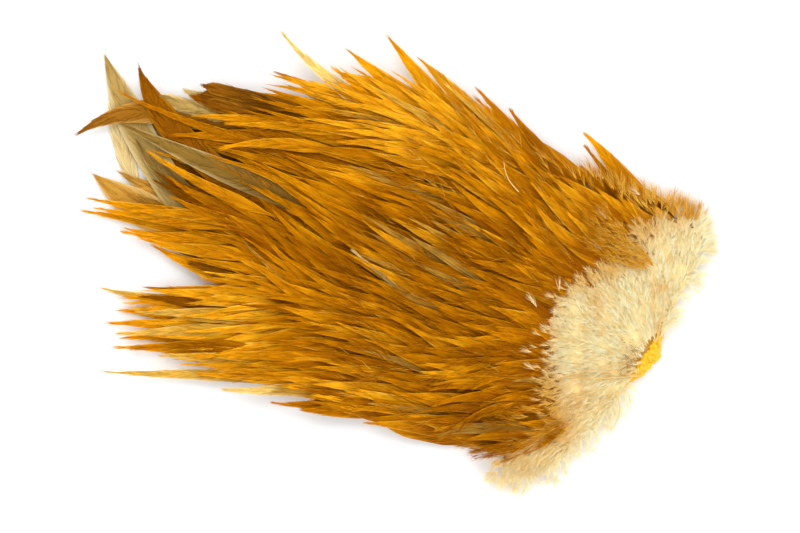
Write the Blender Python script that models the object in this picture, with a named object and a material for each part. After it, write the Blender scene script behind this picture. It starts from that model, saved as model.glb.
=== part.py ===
"""Rooster saddle hackle: a dried patch of rooster skin, lying flat, with its long feathers still in it.

The frame: X runs along the patch towards the cut at the neck end, Y across it, Z up. The skin lies on Z = 0.
The feathers grow from +X to -X. They lie in rows like roof tiles, and each row lies over the rows behind it.
"""

import math

import bmesh
import bpy
from mathutils import Vector
from mathutils.geometry import interpolate_bezier

MM = 0.001
CLEARANCE = 0.3 * MM

# The skin: a rounded piece of hide, cut off along a slanted edge at the neck
SKIN_THICKNESS = 1.4 * MM
SKIN_MIDDLE = (37 * MM, -5 * MM)
SKIN_REACH = (74 * MM, 53 * MM)
SKIN_ROUNDNESS = 2.6
SKIN_POINTS = 44
SKIN_INSET = 2.5 * MM

# The feathers rest on the skin, and past its rim they come down to the table
SKIN_RIM = 0.04
TABLE_FALL = 0.65

# The slanted neck edge and the length of the patch, both as parabolas of the place across it
NECK_X = 109.2 * MM
NECK_Y = 25 * MM
NECK_SLANT = 4.3
PATCH_LENGTH = 212 * MM
PATCH_SHORTENING = 7.6

# Rows of feathers. Row -1 is the rearmost, and depth runs from 0 at the neck edge to 1 at the long tips
LAST_ROOT = 0.60
ROW_STEP = 0.034
LAYER = 1.4 * MM
LAYER_AT_EDGE = 0.55
LAYER_AT_TIPS = 0.68
LAYER_SIDE_POWER = 2.5
HALF_PATCH = 66 * MM
LEVEL_BLEND = 0.03

# A feather's section, as (share of the half width, height in layers), and where along it the rings are
VANE_SECTION = ((-1.0, -0.30), (-0.42, 0.10), (0.0, 0.33), (0.42, 0.10), (1.0, -0.30), (0.0, -0.04))
STATIONS = (0.0, 0.07, 0.17, 0.30, 0.44, 0.58, 0.71, 0.82, 0.91, 0.97)
QUILL_SHARE = 0.13
VANE_OPENING = 0.27
VANE_CLOSING = 0.50
VANE_POINT_POWER = 1.7
BEZIER_STEPS = 120
SINGLE_ROOT_HEADING = 180

# The feathers of the back, a few in a row: their widths, how far they reach past their roots, and where
# the patch is widest. The notch is the gap between its two lobes of tips
BACK_ROWS = range(5, 16)
BACK_IN_ROW = 3
BACK_WIDTH = 15 * MM
BACK_WIDENING = 0.3 * MM
ROW_SHIFT = 0.618
FRONT_FEATHER = 0.17
FEATHER_GROWTH = 0.0196
BACK_LOW = -58 * MM
BACK_HIGH = 57 * MM
BACK_HIGH_FALL = 70 * MM
BACK_WIDEST = 0.48
NOTCH_DEPTH = 0.735
NOTCH_SIDES = (-42 * MM, -17 * MM)

# The feathers turn outwards from the lower edge to the upper one, less so near the long tips, in degrees
SPLAY_LOW = -9
SPLAY_RISE = 33
SPLAY_POWER = 0.9
SPLAY_LOSS = 22
SPLAY_LOSS_DEPTHS = (0.55, 0.95)
SPLAY_OF_SHAFT = 0.8
SPLAY_AT_ROOT = 0.6

VANE_ROUGHNESS = 0.55
DOWN_ROUGHNESS = 0.8
HIDE_ROUGHNESS = 0.6
SMOOTH_ANGLE = math.radians(50)
GOLD = (0.55, 0.25, 0.02)
BRIGHT_GOLD = (0.72, 0.38, 0.03)
PALE_GOLD = (0.80, 0.52, 0.10)
BROWN = (0.30, 0.12, 0.015)
TAN = (0.48, 0.28, 0.08)
GREY = (0.42, 0.31, 0.16)
CREAM = (0.86, 0.72, 0.42)
HIDE = (0.80, 0.60, 0.20)

# Feathers that stand out from the rest, at the ends and edges of the patch:
# name, tip in mm, heading of the tip in degrees, Y of the root in mm, its row, vane width in mm,
# how far along the feather its vane starts to narrow, colour
SINGLE_FEATHERS = (
    ("grey_feather_outer", (-111.0, 34.7), 118, -22, -1, 12.5, 0.66, GREY),
    ("brown_feather_upright", (-98.2, 34.2), 120, 0, 1, 11.0, 0.66, BROWN),
    ("brown_feather_inner", (-93.6, -3.0), 168, -5, 0, 13.0, 0.55, BROWN),
    ("brown_feather_curved", (-111.7, 4.3), 236, 23, 2, 10.5, 0.62, BROWN),
    ("brown_feather_blunt", (-76.1, 31.0), 188, 38, 4, 12.5, 0.78, BROWN),
    ("tan_feather", (-101.9, -6.4), 146, -13, 2, 10.0, 0.62, TAN),
    ("grey_feather_middle", (-98.0, 13.4), 172, 6, 3, 9.5, 0.58, GREY),
    ("gold_feather_low", (-101.5, -19.9), 189, -12, 1, 8.5, 0.55, BRIGHT_GOLD),
    ("gold_feather_inner", (-85.6, -20.9), 181, -17, 3, 10.0, 0.55, GOLD),
    ("gold_feather_high", (-101.6, 23.7), 171, 23, 3, 9.5, 0.50, GOLD),
    ("gold_feather_notch", (-73.6, -25.0), 170, -27, 2, 9.5, 0.60, GOLD),
    ("gold_feather_crossing", (-82.6, 8.0), 178, 18, 4, 10.0, 0.50, BRIGHT_GOLD),
    ("lobe_feather_1", (-86.0, -43.7), 186, -36, 1, 9.0, 0.50, PALE_GOLD),
    ("lobe_feather_2", (-78.6, -49.2), 195, -40, 0, 9.5, 0.58, BRIGHT_GOLD),
    ("lobe_feather_3", (-80.7, -54.6), 200, -44, 2, 9.0, 0.55, BRIGHT_GOLD),
    ("lobe_feather_4", (-73.9, -57.8), 202, -46, 1, 8.0, 0.55, BRIGHT_GOLD),
    ("lobe_feather_5", (-75.4, -61.8), 199, -47, 3, 8.5, 0.55, BRIGHT_GOLD),
    ("lobe_feather_6", (-71.6, -38.5), 191, -27, 3, 10.5, 0.60, GOLD),
    ("slim_feather", (-76.3, -71.1), 194, -52, 4, 5.5, 0.55, PALE_GOLD),
    ("lower_edge_feather_1", (-36.1, -64.0), 181, -50, 6, 8.0, 0.50, PALE_GOLD),
    ("lower_edge_feather_2", (-6.6, -62.0), 190, -49, 9, 10.0, 0.55, GOLD),
    ("upper_edge_feather_1", (-51.0, 47.2), 176, 40, 5, 9.0, 0.55, GOLD),
    ("upper_edge_feather_2", (-54.0, 60.9), 143, 38, 6, 8.5, 0.60, PALE_GOLD),
    ("upper_edge_feather_3", (-30.1, 62.1), 158, 42, 8, 10.0, 0.60, BRIGHT_GOLD),
    ("upper_edge_feather_4", (-18.3, 71.1), 140, 40, 9, 9.0, 0.60, BRIGHT_GOLD),
    ("upper_edge_feather_5", (-5.1, 66.9), 152, 40, 10, 10.0, 0.62, GOLD),
    ("upper_edge_feather_6", (17.4, 63.0), 152, 38, 13, 12.0, 0.62, GOLD),
    ("upper_edge_feather_7", (57.8, 60.1), 148, 38, 15, 12.0, 0.60, BRIGHT_GOLD),
)

# The mat of down at the neck. It reaches furthest along its middle, and a little further at its lower corner
MAT_CELLS = (26, 7)
MAT_SIDES = (-65 * MM, 46 * MM)
MAT_START = -0.012
MAT_REACH = 0.082
DOWN_MIDDLE = -3 * MM
DOWN_HALF_WIDTH = 22 * MM
HUMP_REACH = 0.128
CORNER_PLACE = (-57 * MM, 8 * MM)
CORNER_REACH = 0.015
BARE_PLACE = (-9 * MM, 8 * MM)
BARE_DEPTH = 0.036

# Depth at which the mat begins to lie over feathers, and the front rows whose middles it hides
OVER_FEATHERS = 0.047
HUMP_OVER_FEATHERS = 0.077
COVER_ROW = 13
COVER_STEP = 17 * MM
COVER_START = 4 * MM

# The mat's thickness at its rim and at its crown, and the spans over which the crown rises and falls
MAT_EDGE = 0.7 * MM
MAT_THICKNESS = 2.6 * MM
CROWN_ALONG = (0.10, 0.86)
CROWN_ACROSS = (0.06, 0.88)
CROWN_POWER = 0.7

# Tufts of the mat: where their rows lie, their sections as (share of the half width, share of the height),
# their rings as (share of the length, share of the width, rise), headings in degrees and sizes
TUFT_ROWS = 4
TUFTS_IN_ROW = 7
TUFT_FIRST = 0.02
TUFT_STEP = 0.22
TUFT_STAGGER = 0.25
TUFT_LENGTH = 20 * MM
TUFT_WIDTH = 11 * MM
TUFT_HEIGHT = 2.2 * MM
TUFT_SECTION = ((-1.0, -0.2), (0.0, 0.45), (1.0, -0.2), (0.0, -0.45))
TUFT_RINGS = ((0.0, 0.45, -0.3), (0.35, 1.0, 0.1), (0.72, 0.72, 0.35))
TUFT_TIP_RISE = 0.4
TUFT_HEADING = 190
TUFT_TURN = 32
TUFT_HEADING_SPREAD = 9
TUFT_SIZE = 0.86
TUFT_SIZE_SPREAD = 0.14


def smooth_step(low, high, value):
    share = min(max((value - low) / (high - low), 0.0), 1.0)
    return share * share * (3 - 2 * share)


def neck_edge_x(y):
    return NECK_X - NECK_SLANT * (y - NECK_Y) ** 2


def patch_length(y):
    return PATCH_LENGTH - PATCH_SHORTENING * min(y - NECK_Y, 0.0) ** 2


def depth(x, y):
    """How far a place lies from the neck edge towards the long tips, from 0 to 1."""
    return (neck_edge_x(y) - x) / patch_length(y)


def at_depth(share, y):
    """X of the place at a given depth."""
    return neck_edge_x(y) - share * patch_length(y)


def root_depth(row):
    return LAST_ROOT - row * ROW_STEP


def off_skin(x, y):
    """0 over the skin, rising past its outline."""
    across = abs((x - SKIN_MIDDLE[0]) / SKIN_REACH[0]) ** SKIN_ROUNDNESS
    along = abs((y - SKIN_MIDDLE[1]) / SKIN_REACH[1]) ** SKIN_ROUNDNESS
    return (across + along) ** (1 / SKIN_ROUNDNESS) - 1


def resting_height(x, y):
    """Height of what the feathers lie on: the skin, or past its edge the table."""
    on_skin = SKIN_THICKNESS + 2 * CLEARANCE
    return on_skin - (on_skin - CLEARANCE / 2) * smooth_step(SKIN_RIM, TABLE_FALL, off_skin(x, y))


def layer(x, y):
    """Thickness that one row takes up, less at the sides and towards the tips."""
    side = min(abs(y / HALF_PATCH), 1.0) ** LAYER_SIDE_POWER
    return (
        LAYER
        * (1 - (1 - LAYER_AT_EDGE) * side)
        * (1 - (1 - LAYER_AT_TIPS) * smooth_step(LAST_ROOT, 1.0, depth(x, y)))
    )


def level(x, y, row):
    """How many rows lie under a row at this place."""
    ahead = depth(x, y)
    behind = LAST_ROOT + LEVEL_BLEND
    reached = (ahead + behind - math.hypot(ahead - behind, LEVEL_BLEND)) / 2
    return (reached - root_depth(row)) / ROW_STEP


def stacked_height(x, y, row, lift=0.0):
    """Height of the middle of a feather of one row, plus a lift given in layers."""
    return resting_height(x, y) + layer(x, y) * (level(x, y, row) + 0.5 + lift)


def vane_share(along, closing):
    """The vane's width along the feather, as a share of its widest. It narrows from closing on."""
    opening = QUILL_SHARE + (1 - QUILL_SHARE) * smooth_step(0.0, VANE_OPENING, along)
    return opening * (1 - (max(along - closing, 0.0) / (1 - closing)) ** VANE_POINT_POWER)


def material(name, colour, roughness):
    made = bpy.data.materials.new(name)
    made.use_nodes = True
    shader = made.node_tree.nodes["Principled BSDF"]
    shader.inputs["Base Color"].default_value = (*colour, 1.0)
    shader.inputs["Roughness"].default_value = roughness
    return made


def add_object(name, mesh, colour, roughness, into):
    made = bpy.data.objects.new(name, mesh)
    mesh.materials.append(material(name, colour, roughness))
    into.objects.link(made)
    return made


def heading_vector(degrees):
    return Vector((math.cos(math.radians(degrees)), math.sin(math.radians(degrees)), 0.0))


def loft(rings, tip, section, name):
    """A closed mesh through rings of points that ends in one point.

    Each face is split from the outer of its near corners, so that the upper and lower side of a thin vane are
    split alike and can't cut through each other.
    """
    bm = bmesh.new()
    loops = [[bm.verts.new(point) for point in ring] for ring in rings]
    end = bm.verts.new(tip)
    sides = len(section)
    for near, far in zip(loops, loops[1:]):
        for i in range(sides):
            j = (i + 1) % sides
            if abs(section[i][0]) > abs(section[j][0]):
                bm.faces.new((near[i], near[j], far[j]))
                bm.faces.new((near[i], far[j], far[i]))
            else:
                bm.faces.new((near[i], near[j], far[i]))
                bm.faces.new((near[j], far[j], far[i]))
    bm.faces.new(loops[0][::-1])
    for i in range(sides):
        bm.faces.new((loops[-1][i], loops[-1][(i + 1) % sides], end))
    bmesh.ops.recalc_face_normals(bm, faces=bm.faces)
    mesh = bpy.data.meshes.new(name)
    bm.to_mesh(mesh)
    bm.free()
    mesh.shade_smooth()
    mesh.set_sharp_from_angle(angle=SMOOTH_ANGLE)
    return mesh


def feather_path(root, tip, tip_heading, root_heading):
    """Points along a feather's shaft in plan, from its root to its tip."""
    reach = (tip - root).length / 3
    first = root + heading_vector(root_heading) * reach
    second = tip - heading_vector(tip_heading) * reach
    return interpolate_bezier(root, first, second, tip, BEZIER_STEPS + 1)


def add_feather(name, root_y, tip, tip_heading, root_heading, row, width, closing, colour, into):
    """One feather: a ridged vane that is broad in the middle, pointed at the tip and a quill at the root."""
    root = Vector((at_depth(root_depth(row), root_y), root_y, 0.0))
    path = feather_path(root, Vector((*tip, 0.0)), tip_heading, root_heading)
    rings = []
    for station in STATIONS:
        k = min(round(station * BEZIER_STEPS), BEZIER_STEPS - 1)
        along = (path[k + 1] - path[max(k - 1, 0)]).normalized()
        across = Vector((-along.y, along.x, 0.0)) * (width / 2 * vane_share(station, closing))
        ring = []
        for share, lift in VANE_SECTION:
            place = path[k] + across * share
            height = stacked_height(place.x, place.y, row, lift)
            ring.append((place.x, place.y, height))
        rings.append(ring)
    end = path[BEZIER_STEPS]
    point = (end.x, end.y, stacked_height(end.x, end.y, row))
    return add_object(name, loft(rings, point, VANE_SECTION, name), colour, VANE_ROUGHNESS, into)


def back_feathers():
    """Root Y, tip, headings and row of each feather of the back, row by row."""
    for row in BACK_ROWS:
        grown = root_depth(row) + FRONT_FEATHER + FEATHER_GROWTH * (BACK_ROWS[-1] - row)
        high = BACK_HIGH - BACK_HIGH_FALL * abs(grown - BACK_WIDEST)
        for column in range(BACK_IN_ROW):
            share = (column + row * ROW_SHIFT % 1) / BACK_IN_ROW
            y = BACK_LOW + (high - BACK_LOW) * share
            if abs(y - DOWN_MIDDLE) < COVER_STEP * (row - COVER_ROW) + COVER_START:
                continue
            tip_depth = grown
            if NOTCH_SIDES[0] < y < NOTCH_SIDES[1]:
                tip_depth = min(tip_depth, NOTCH_DEPTH)
            lost = SPLAY_LOSS * share * smooth_step(*SPLAY_LOSS_DEPTHS, grown)
            splay = SPLAY_LOW + SPLAY_RISE * share ** SPLAY_POWER - lost
            run = at_depth(root_depth(row), y) - at_depth(tip_depth, y)
            root_y = y - run * math.tan(math.radians(splay * SPLAY_OF_SHAFT))
            yield root_y, (at_depth(tip_depth, y), y), 180 - splay, 180 - splay * SPLAY_AT_ROOT, row


def add_skin(into):
    """The hide, flat underneath, with a rounded outline cut off along the neck edge."""
    bm = bmesh.new()
    power = 2 / SKIN_ROUNDNESS
    outline = []
    for i in range(SKIN_POINTS):
        angle = 2 * math.pi * i / SKIN_POINTS
        c, s = math.cos(angle), math.sin(angle)
        x = SKIN_MIDDLE[0] + SKIN_REACH[0] * math.copysign(abs(c) ** power, c)
        y = SKIN_MIDDLE[1] + SKIN_REACH[1] * math.copysign(abs(s) ** power, s)
        outline.append(bm.verts.new((min(x, neck_edge_x(y) - SKIN_INSET), y, 0.0)))
    base = bm.faces.new(outline)
    grown = bmesh.ops.extrude_face_region(bm, geom=[base])
    risen = [v for v in grown["geom"] if isinstance(v, bmesh.types.BMVert)]
    bmesh.ops.translate(bm, vec=(0.0, 0.0, SKIN_THICKNESS), verts=risen)
    bmesh.ops.recalc_face_normals(bm, faces=bm.faces)
    mesh = bpy.data.meshes.new("skin")
    bm.to_mesh(mesh)
    bm.free()
    return add_object("skin", mesh, HIDE, HIDE_ROUGHNESS, into)


def down_hump(y):
    """1 where the down reaches furthest from the neck edge, falling to both sides."""
    return math.exp(-(((y - DOWN_MIDDLE) / DOWN_HALF_WIDTH) ** 2))


def mat_start(y):
    """Depth at which the down begins: at the neck edge, but for a bay where the bare skin shows."""
    return MAT_START + BARE_DEPTH * math.exp(-(((y - BARE_PLACE[0]) / BARE_PLACE[1]) ** 2))


def mat_reach(y):
    """Depth at which the down ends."""
    corner = math.exp(-(((y - CORNER_PLACE[0]) / CORNER_PLACE[1]) ** 2))
    return MAT_REACH + HUMP_REACH * down_hump(y) + CORNER_REACH * corner


def mat_underside(x, y):
    """Height of the mat's underside: on the skin near the neck, then over the front feathers."""
    bare = OVER_FEATHERS + HUMP_OVER_FEATHERS * down_hump(y)
    rows = max(depth(x, y) - bare, 0.0) / ROW_STEP
    return resting_height(x, y) + layer(x, y) * rows


def mat_thickness(across, along):
    """Thick in the middle of the mat and thin at its rim, from its place in both directions, 0 to 1."""
    lengthwise = math.sin(math.pi * (CROWN_ALONG[0] + CROWN_ALONG[1] * along))
    crosswise = math.sin(math.pi * (CROWN_ACROSS[0] + CROWN_ACROSS[1] * across))
    return MAT_EDGE + MAT_THICKNESS * (lengthwise * crosswise) ** CROWN_POWER


def mat_place(across, along):
    y = MAT_SIDES[0] + (MAT_SIDES[1] - MAT_SIDES[0]) * across
    start = mat_start(y)
    return at_depth(start + (mat_reach(y) - start) * along, y), y


def mat_top(x, y):
    across = (y - MAT_SIDES[0]) / (MAT_SIDES[1] - MAT_SIDES[0])
    start = mat_start(y)
    along = (depth(x, y) - start) / (mat_reach(y) - start)
    inside = min(max(across, 0.0), 1.0), min(max(along, 0.0), 1.0)
    return mat_underside(x, y) + mat_thickness(*inside)


def add_down_mat(into):
    """The matted down at the neck, before its tufts are joined to it."""
    bm = bmesh.new()
    sheets = []
    for top in (False, True):
        made = bmesh.ops.create_grid(bm, x_segments=MAT_CELLS[0], y_segments=MAT_CELLS[1], size=0.5)
        for vert in made["verts"]:
            across, along = vert.co.x + 0.5, vert.co.y + 0.5
            x, y = mat_place(across, along)
            rise = mat_thickness(across, along) if top else 0.0
            vert.co = (x, y, mat_underside(x, y) + rise)
        sheets.append(made["verts"])
    rims = [edge for edge in bm.edges if edge.is_boundary]
    bmesh.ops.bridge_loops(bm, edges=rims)
    bmesh.ops.recalc_face_normals(bm, faces=bm.faces)
    mesh = bpy.data.meshes.new("neck_down")
    bm.to_mesh(mesh)
    bm.free()
    return add_object("neck_down", mesh, CREAM, DOWN_ROUGHNESS, into)


def add_tuft(name, across, along, turn, size, into):
    """One pointed tuft of down, rooted in the mat and rising out of it towards its tip."""
    x, y = mat_place(across, along)
    aim = heading_vector(turn)
    side = Vector((-aim.y, aim.x, 0.0))
    rings = []
    for station, width, rise in TUFT_RINGS:
        middle = Vector((x, y, 0.0)) + aim * (TUFT_LENGTH * size * station)
        ring = []
        for share, lift in TUFT_SECTION:
            place = middle + side * (TUFT_WIDTH * size / 2 * width * share)
            height = mat_top(place.x, place.y) + TUFT_HEIGHT * size * (rise + lift)
            ring.append((place.x, place.y, height))
        rings.append(ring)
    end = Vector((x, y, 0.0)) + aim * (TUFT_LENGTH * size)
    tip = (end.x, end.y, mat_top(end.x, end.y) + TUFT_HEIGHT * size * TUFT_TIP_RISE)
    made = add_object(name, loft(rings, tip, TUFT_SECTION, name), CREAM, DOWN_ROUGHNESS, into)
    made.hide_render = True
    made.display_type = "WIRE"
    return made


def add_neck_down(into, helpers):
    """The cream down: a mat with rows of tufts joined to it."""
    mat = add_down_mat(into)
    for row in range(TUFT_ROWS):
        along = TUFT_FIRST + TUFT_STEP * row
        for column in range(TUFTS_IN_ROW):
            across = (column + 0.5 + TUFT_STAGGER * (-1) ** row) / TUFTS_IN_ROW
            turn = TUFT_HEADING - TUFT_TURN * across + TUFT_HEADING_SPREAD * math.sin(5 * row + 3 * column)
            size = TUFT_SIZE + TUFT_SIZE_SPREAD * math.sin(2 * row + 4 * column)
            add_tuft(f"tuft_{row}_{column}", across, along, turn, size, helpers)
    joined = mat.modifiers.new("tufts", "BOOLEAN")
    joined.operation = "UNION"
    joined.solver = "EXACT"
    joined.operand_type = "COLLECTION"
    joined.collection = helpers
    return mat


def main():
    for old in list(bpy.data.objects):
        bpy.data.objects.remove(old, do_unlink=True)
    patch = bpy.data.collections.new("rooster_saddle_hackle")
    helpers = bpy.data.collections.new("cutters")
    for group in (patch, helpers):
        bpy.context.scene.collection.children.link(group)
    add_skin(patch)
    add_neck_down(patch, helpers)
    for name, tip, heading, root_y, row, width, closing, colour in SINGLE_FEATHERS:
        place = (tip[0] * MM, tip[1] * MM)
        add_feather(
            name, root_y * MM, place, heading, SINGLE_ROOT_HEADING, row, width * MM, closing, colour, patch
        )
    for number, (root_y, tip, tip_heading, root_heading, row) in enumerate(back_feathers(), 1):
        name = f"back_feather_{number:02d}"
        width = BACK_WIDTH + BACK_WIDENING * (BACK_ROWS[-1] - row)
        add_feather(name, root_y, tip, tip_heading, root_heading, row, width, VANE_CLOSING, GOLD, patch)


main()
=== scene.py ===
import math

import bmesh
import bpy
import numpy as np
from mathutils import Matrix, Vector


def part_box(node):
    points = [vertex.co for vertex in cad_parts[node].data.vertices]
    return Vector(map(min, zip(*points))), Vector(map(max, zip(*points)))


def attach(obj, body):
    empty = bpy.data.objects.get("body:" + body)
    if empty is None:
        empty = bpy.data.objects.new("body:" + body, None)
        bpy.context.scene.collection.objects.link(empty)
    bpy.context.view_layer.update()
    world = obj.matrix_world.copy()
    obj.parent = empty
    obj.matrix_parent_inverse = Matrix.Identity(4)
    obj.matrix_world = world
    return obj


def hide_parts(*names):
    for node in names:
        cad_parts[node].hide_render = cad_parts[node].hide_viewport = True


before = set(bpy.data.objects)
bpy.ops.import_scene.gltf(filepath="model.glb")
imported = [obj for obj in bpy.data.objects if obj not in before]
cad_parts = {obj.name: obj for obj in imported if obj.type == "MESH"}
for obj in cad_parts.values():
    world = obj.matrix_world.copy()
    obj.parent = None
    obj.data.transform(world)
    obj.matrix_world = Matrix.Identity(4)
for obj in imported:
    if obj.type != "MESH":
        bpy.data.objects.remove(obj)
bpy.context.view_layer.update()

# The hide
# One piece of dried skin from the bird's lower back, laid flat on its flesh side. It is thin fatty leather.
# The feathers stand in it. It shows from below, and at the neck cut, where its bare rim is yellow with fat.

MM = 0.001
NECK_X, NECK_Y, NECK_SLANT = 109.2 * MM, 25 * MM, 4.3
HIDE_MIDDLE, HIDE_REACH, HIDE_ROUNDNESS = (37 * MM, -5 * MM), (74 * MM, 53 * MM), 2.6
HIDE_THICKNESS, FLESH_SIDE = 1.3 * MM, 0.15 * MM
HIDE_CELLS, HIDE_END, HIDE_SHARP_FROM = (64, 50), 0.999, math.radians(50)
FAT_MIDDLE, FAT_REACH, FAT_GAIN, FAT_RIM = -8 * MM, 9 * MM, 1.6, (-6 * MM, -2.5 * MM)
# In mm, how far behind the neck edge the hide is cut, and how far its fat stands out there
CUT_INSET, FAT_STANDS_OUT = 3.0, 4.0
# Height, size and seed of the wavering of the cut (its height in mm), the rear edge and the two faces
CUT_RIPPLE, REAR_RIPPLE = (0.8, 3 * MM, 2.0), (0.8 * MM, 7 * MM, 1.0)
FLESH_RIPPLE, FEATHER_SIDE_RIPPLE = (0.10 * MM, 5 * MM, 3.0), (0.12 * MM, 4 * MM, 0.5)


def linear(hex_code):
    """An sRGB hex colour as linear RGB."""
    channels = [int(hex_code[i:i + 2], 16) / 255 for i in (1, 3, 5)]
    return np.array([c / 12.92 if c <= 0.04045 else ((c + 0.055) / 1.055) ** 2.4 for c in channels])


def opaque(hex_code):
    return (*linear(hex_code), 1.0)


def add_node(tree, kind, inputs=None, **properties):
    """One shader node with its settings. An input that is given a socket is linked to it."""
    node = tree.nodes.new(kind)
    for name, value in properties.items():
        setattr(node, name, value)
    for name, value in (inputs or {}).items():
        if isinstance(value, bpy.types.NodeSocket):
            tree.links.new(value, node.inputs[name])
        else:
            node.inputs[name].default_value = value
    return node


def new_material(name):
    made = bpy.data.materials.new(name)
    made.use_nodes = True
    return made, made.node_tree


def set_surface(tree, colour, relief, strength, depth, plain_values):
    """Gives a shader its colour, a relief of that depth in mm, and plain values on its sockets."""
    shader = tree.nodes["Principled BSDF"]
    bump = add_node(tree, "ShaderNodeBump", {"Height": relief, "Strength": strength, "Distance": depth * MM})
    tree.links.new(colour, shader.inputs["Base Color"])
    tree.links.new(bump.outputs["Normal"], shader.inputs["Normal"])
    for name, value in plain_values.items():
        shader.inputs[name].default_value = value


def smooth_step(low, high, value):
    share = np.clip((value - low) / (high - low), 0.0, 1.0)
    return share * share * (3 - 2 * share)


def bell(value, middle, reach):
    """One at the middle, fading out to both sides."""
    return np.exp(-(((value - middle) / reach) ** 2))


def ripple(x, y, height, size, seed):
    """A smooth wavering up and down by the height, with waves of about that size."""
    a = np.sin(x / size * 1.9 + seed) + np.sin(y / size * 2.3 - 1.7 * seed)
    b = np.sin((x + y) / size * 1.3 + 2.1 * seed) + np.sin((x - 1.4 * y) / size * 1.1 + 0.7 * seed)
    return height * ((a + b) / 4)


def neck_edge_x(y):
    return NECK_X - NECK_SLANT * (y - NECK_Y) ** 2


def cut_x(y):
    """Where the hide ends at the neck. Its fatty middle stands out."""
    inset = CUT_INSET - FAT_STANDS_OUT * bell(y, FAT_MIDDLE, FAT_REACH) + ripple(y, 0.0, *CUT_RIPPLE)
    return neck_edge_x(y) - inset * MM


def dried_hide():
    """Fatty dried skin: smooth and waxy, with a pimple at each feather's follicle, about 3 mm apart."""
    made, tree = new_material("fatty dried bird skin")
    place = add_node(tree, "ShaderNodeTexCoord").outputs["Object"]
    fat = add_node(tree, "ShaderNodeAttribute", attribute_name="Fat").outputs["Fac"]
    blotch = add_node(tree, "ShaderNodeTexNoise", {"Vector": place, "Scale": 1 / (9 * MM), "Detail": 4.0})
    follicles = add_node(tree, "ShaderNodeTexVoronoi", {"Vector": place, "Scale": 1 / (3 * MM)})
    pimple = follicles.outputs["Distance"]
    ring = add_node(tree, "ShaderNodeMapRange", {
        "Value": pimple, "From Min": 0.10, "From Max": 0.34, "To Min": 0.45, "To Max": 0.0,
    }).outputs["Result"]
    shown = opaque("#B98E4C")
    for share, colour in ((blotch.outputs["Fac"], "#E2C68A"), (ring, "#8A5F2A"), (fat, "#F2B90C")):
        mixing = {0: share, 6: shown, 7: opaque(colour)}
        shown = add_node(tree, "ShaderNodeMix", mixing, data_type="RGBA").outputs[2]
    set_surface(tree, shown, pimple, 0.35, 0.4, {"Roughness": 0.42, "Coat Weight": 0.15})
    return made


def mesh_of(name, finished):
    """The mesh of a finished bmesh, shaded smooth."""
    mesh = bpy.data.meshes.new(name)
    finished.to_mesh(mesh)
    finished.free()
    mesh.shade_smooth()
    return mesh


def add_object(name, data):
    made = bpy.data.objects.new(name, data)
    bpy.context.scene.collection.objects.link(made)
    return made


def finish_piece(mesh, material, slot, *stands_for):
    """Makes the mesh a piece that rides on the body and stands for its solids. The slot is not used."""
    mesh.materials.append(material)
    made = add_object(mesh.name, mesh)
    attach(made, "root")
    if stands_for:
        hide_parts(*stands_for)


hide_bm = bmesh.new()
bmesh.ops.create_grid(hide_bm, x_segments=HIDE_CELLS[0], y_segments=HIDE_CELLS[1], size=1.0)
grown = bmesh.ops.extrude_face_region(hide_bm, geom=list(hide_bm.faces))
fat_values = []
for vert in hide_bm.verts:
    share_x, share_y = vert.co.x, vert.co.y * HIDE_END
    y = HIDE_MIDDLE[1] + HIDE_REACH[1] * share_y
    half = HIDE_REACH[0] * (1 - abs(share_y) ** HIDE_ROUNDNESS) ** (1 / HIDE_ROUNDNESS)
    low = HIDE_MIDDLE[0] - half + ripple(y, 0.0, *REAR_RIPPLE)
    high = min(HIDE_MIDDLE[0] + half, cut_x(y))
    vert.co = (low + (high - low) * (share_x + 1) / 2, y, FLESH_SIDE + ripple(low, y, *FLESH_RIPPLE))
    at_rim = smooth_step(*FAT_RIM, vert.co.x - high)
    fat_values.append(min(FAT_GAIN * bell(y, FAT_MIDDLE, FAT_REACH), 1.0) * at_rim)
for vert in grown["geom"]:
    if isinstance(vert, bmesh.types.BMVert):
        vert.co.z = HIDE_THICKNESS + ripple(vert.co.x, vert.co.y, *FEATHER_SIDE_RIPPLE)
bmesh.ops.recalc_face_normals(hide_bm, faces=hide_bm.faces)
hide_mesh = mesh_of("hide", hide_bm)
hide_mesh.set_sharp_from_angle(angle=HIDE_SHARP_FROM)
hide_mesh.attributes.new("Fat", "FLOAT", "POINT").data.foreach_set("value", fat_values)
finish_piece(hide_mesh, dried_hide(), "dried_hide", "skin")

# The hackles of the back
# Long slim feathers that stand in rows in the hide, each row over the one behind it, like shingles. Each is
# a thin keratin web on a shaft, grown golden brown. Its barbs part at the edges into a fringe of fine hairs.

PATCH_LENGTH, PATCH_SHORTENING = 212 * MM, 7.6
LAST_ROOT, ROW_STEP = 0.60, 0.034
LAYER, LAYER_AT_EDGE, LAYER_AT_TIPS, HALF_PATCH = 1.4 * MM, 0.55, 0.68, 66 * MM
LAYER_ROUNDNESS, LEVEL_BLEND, LOWEST_LEVEL = 2.5, 0.03, 0.1
ON_HIDE, ON_TABLE, TABLE_FALL = 2.0 * MM, 0.15 * MM, (0.04, 0.65)

# The web's ring: shares of the half width and lifts in mm, with a ridge for the shaft in its middle
WEB_SHARES = np.array([-1.0, -0.55, -0.10, 0.0, 0.10, 0.55, 1.0, 0.0])
WEB_LIFTS = np.array([-0.26, -0.03, 0.08, 0.17, 0.08, -0.03, -0.26, -0.16]) * MM
WEB_STATIONS = np.array([0.0, 0.08, 0.18, 0.30, 0.42, 0.52, 0.61, 0.69, 0.76, 0.82, 0.87, 0.92, 0.96, 0.985])
QUILL_SHARE, FULL_FROM, POINT_POWER, CURL_ALONG = 0.13, 0.27, 1.35, (0.6, 1.0)

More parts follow.
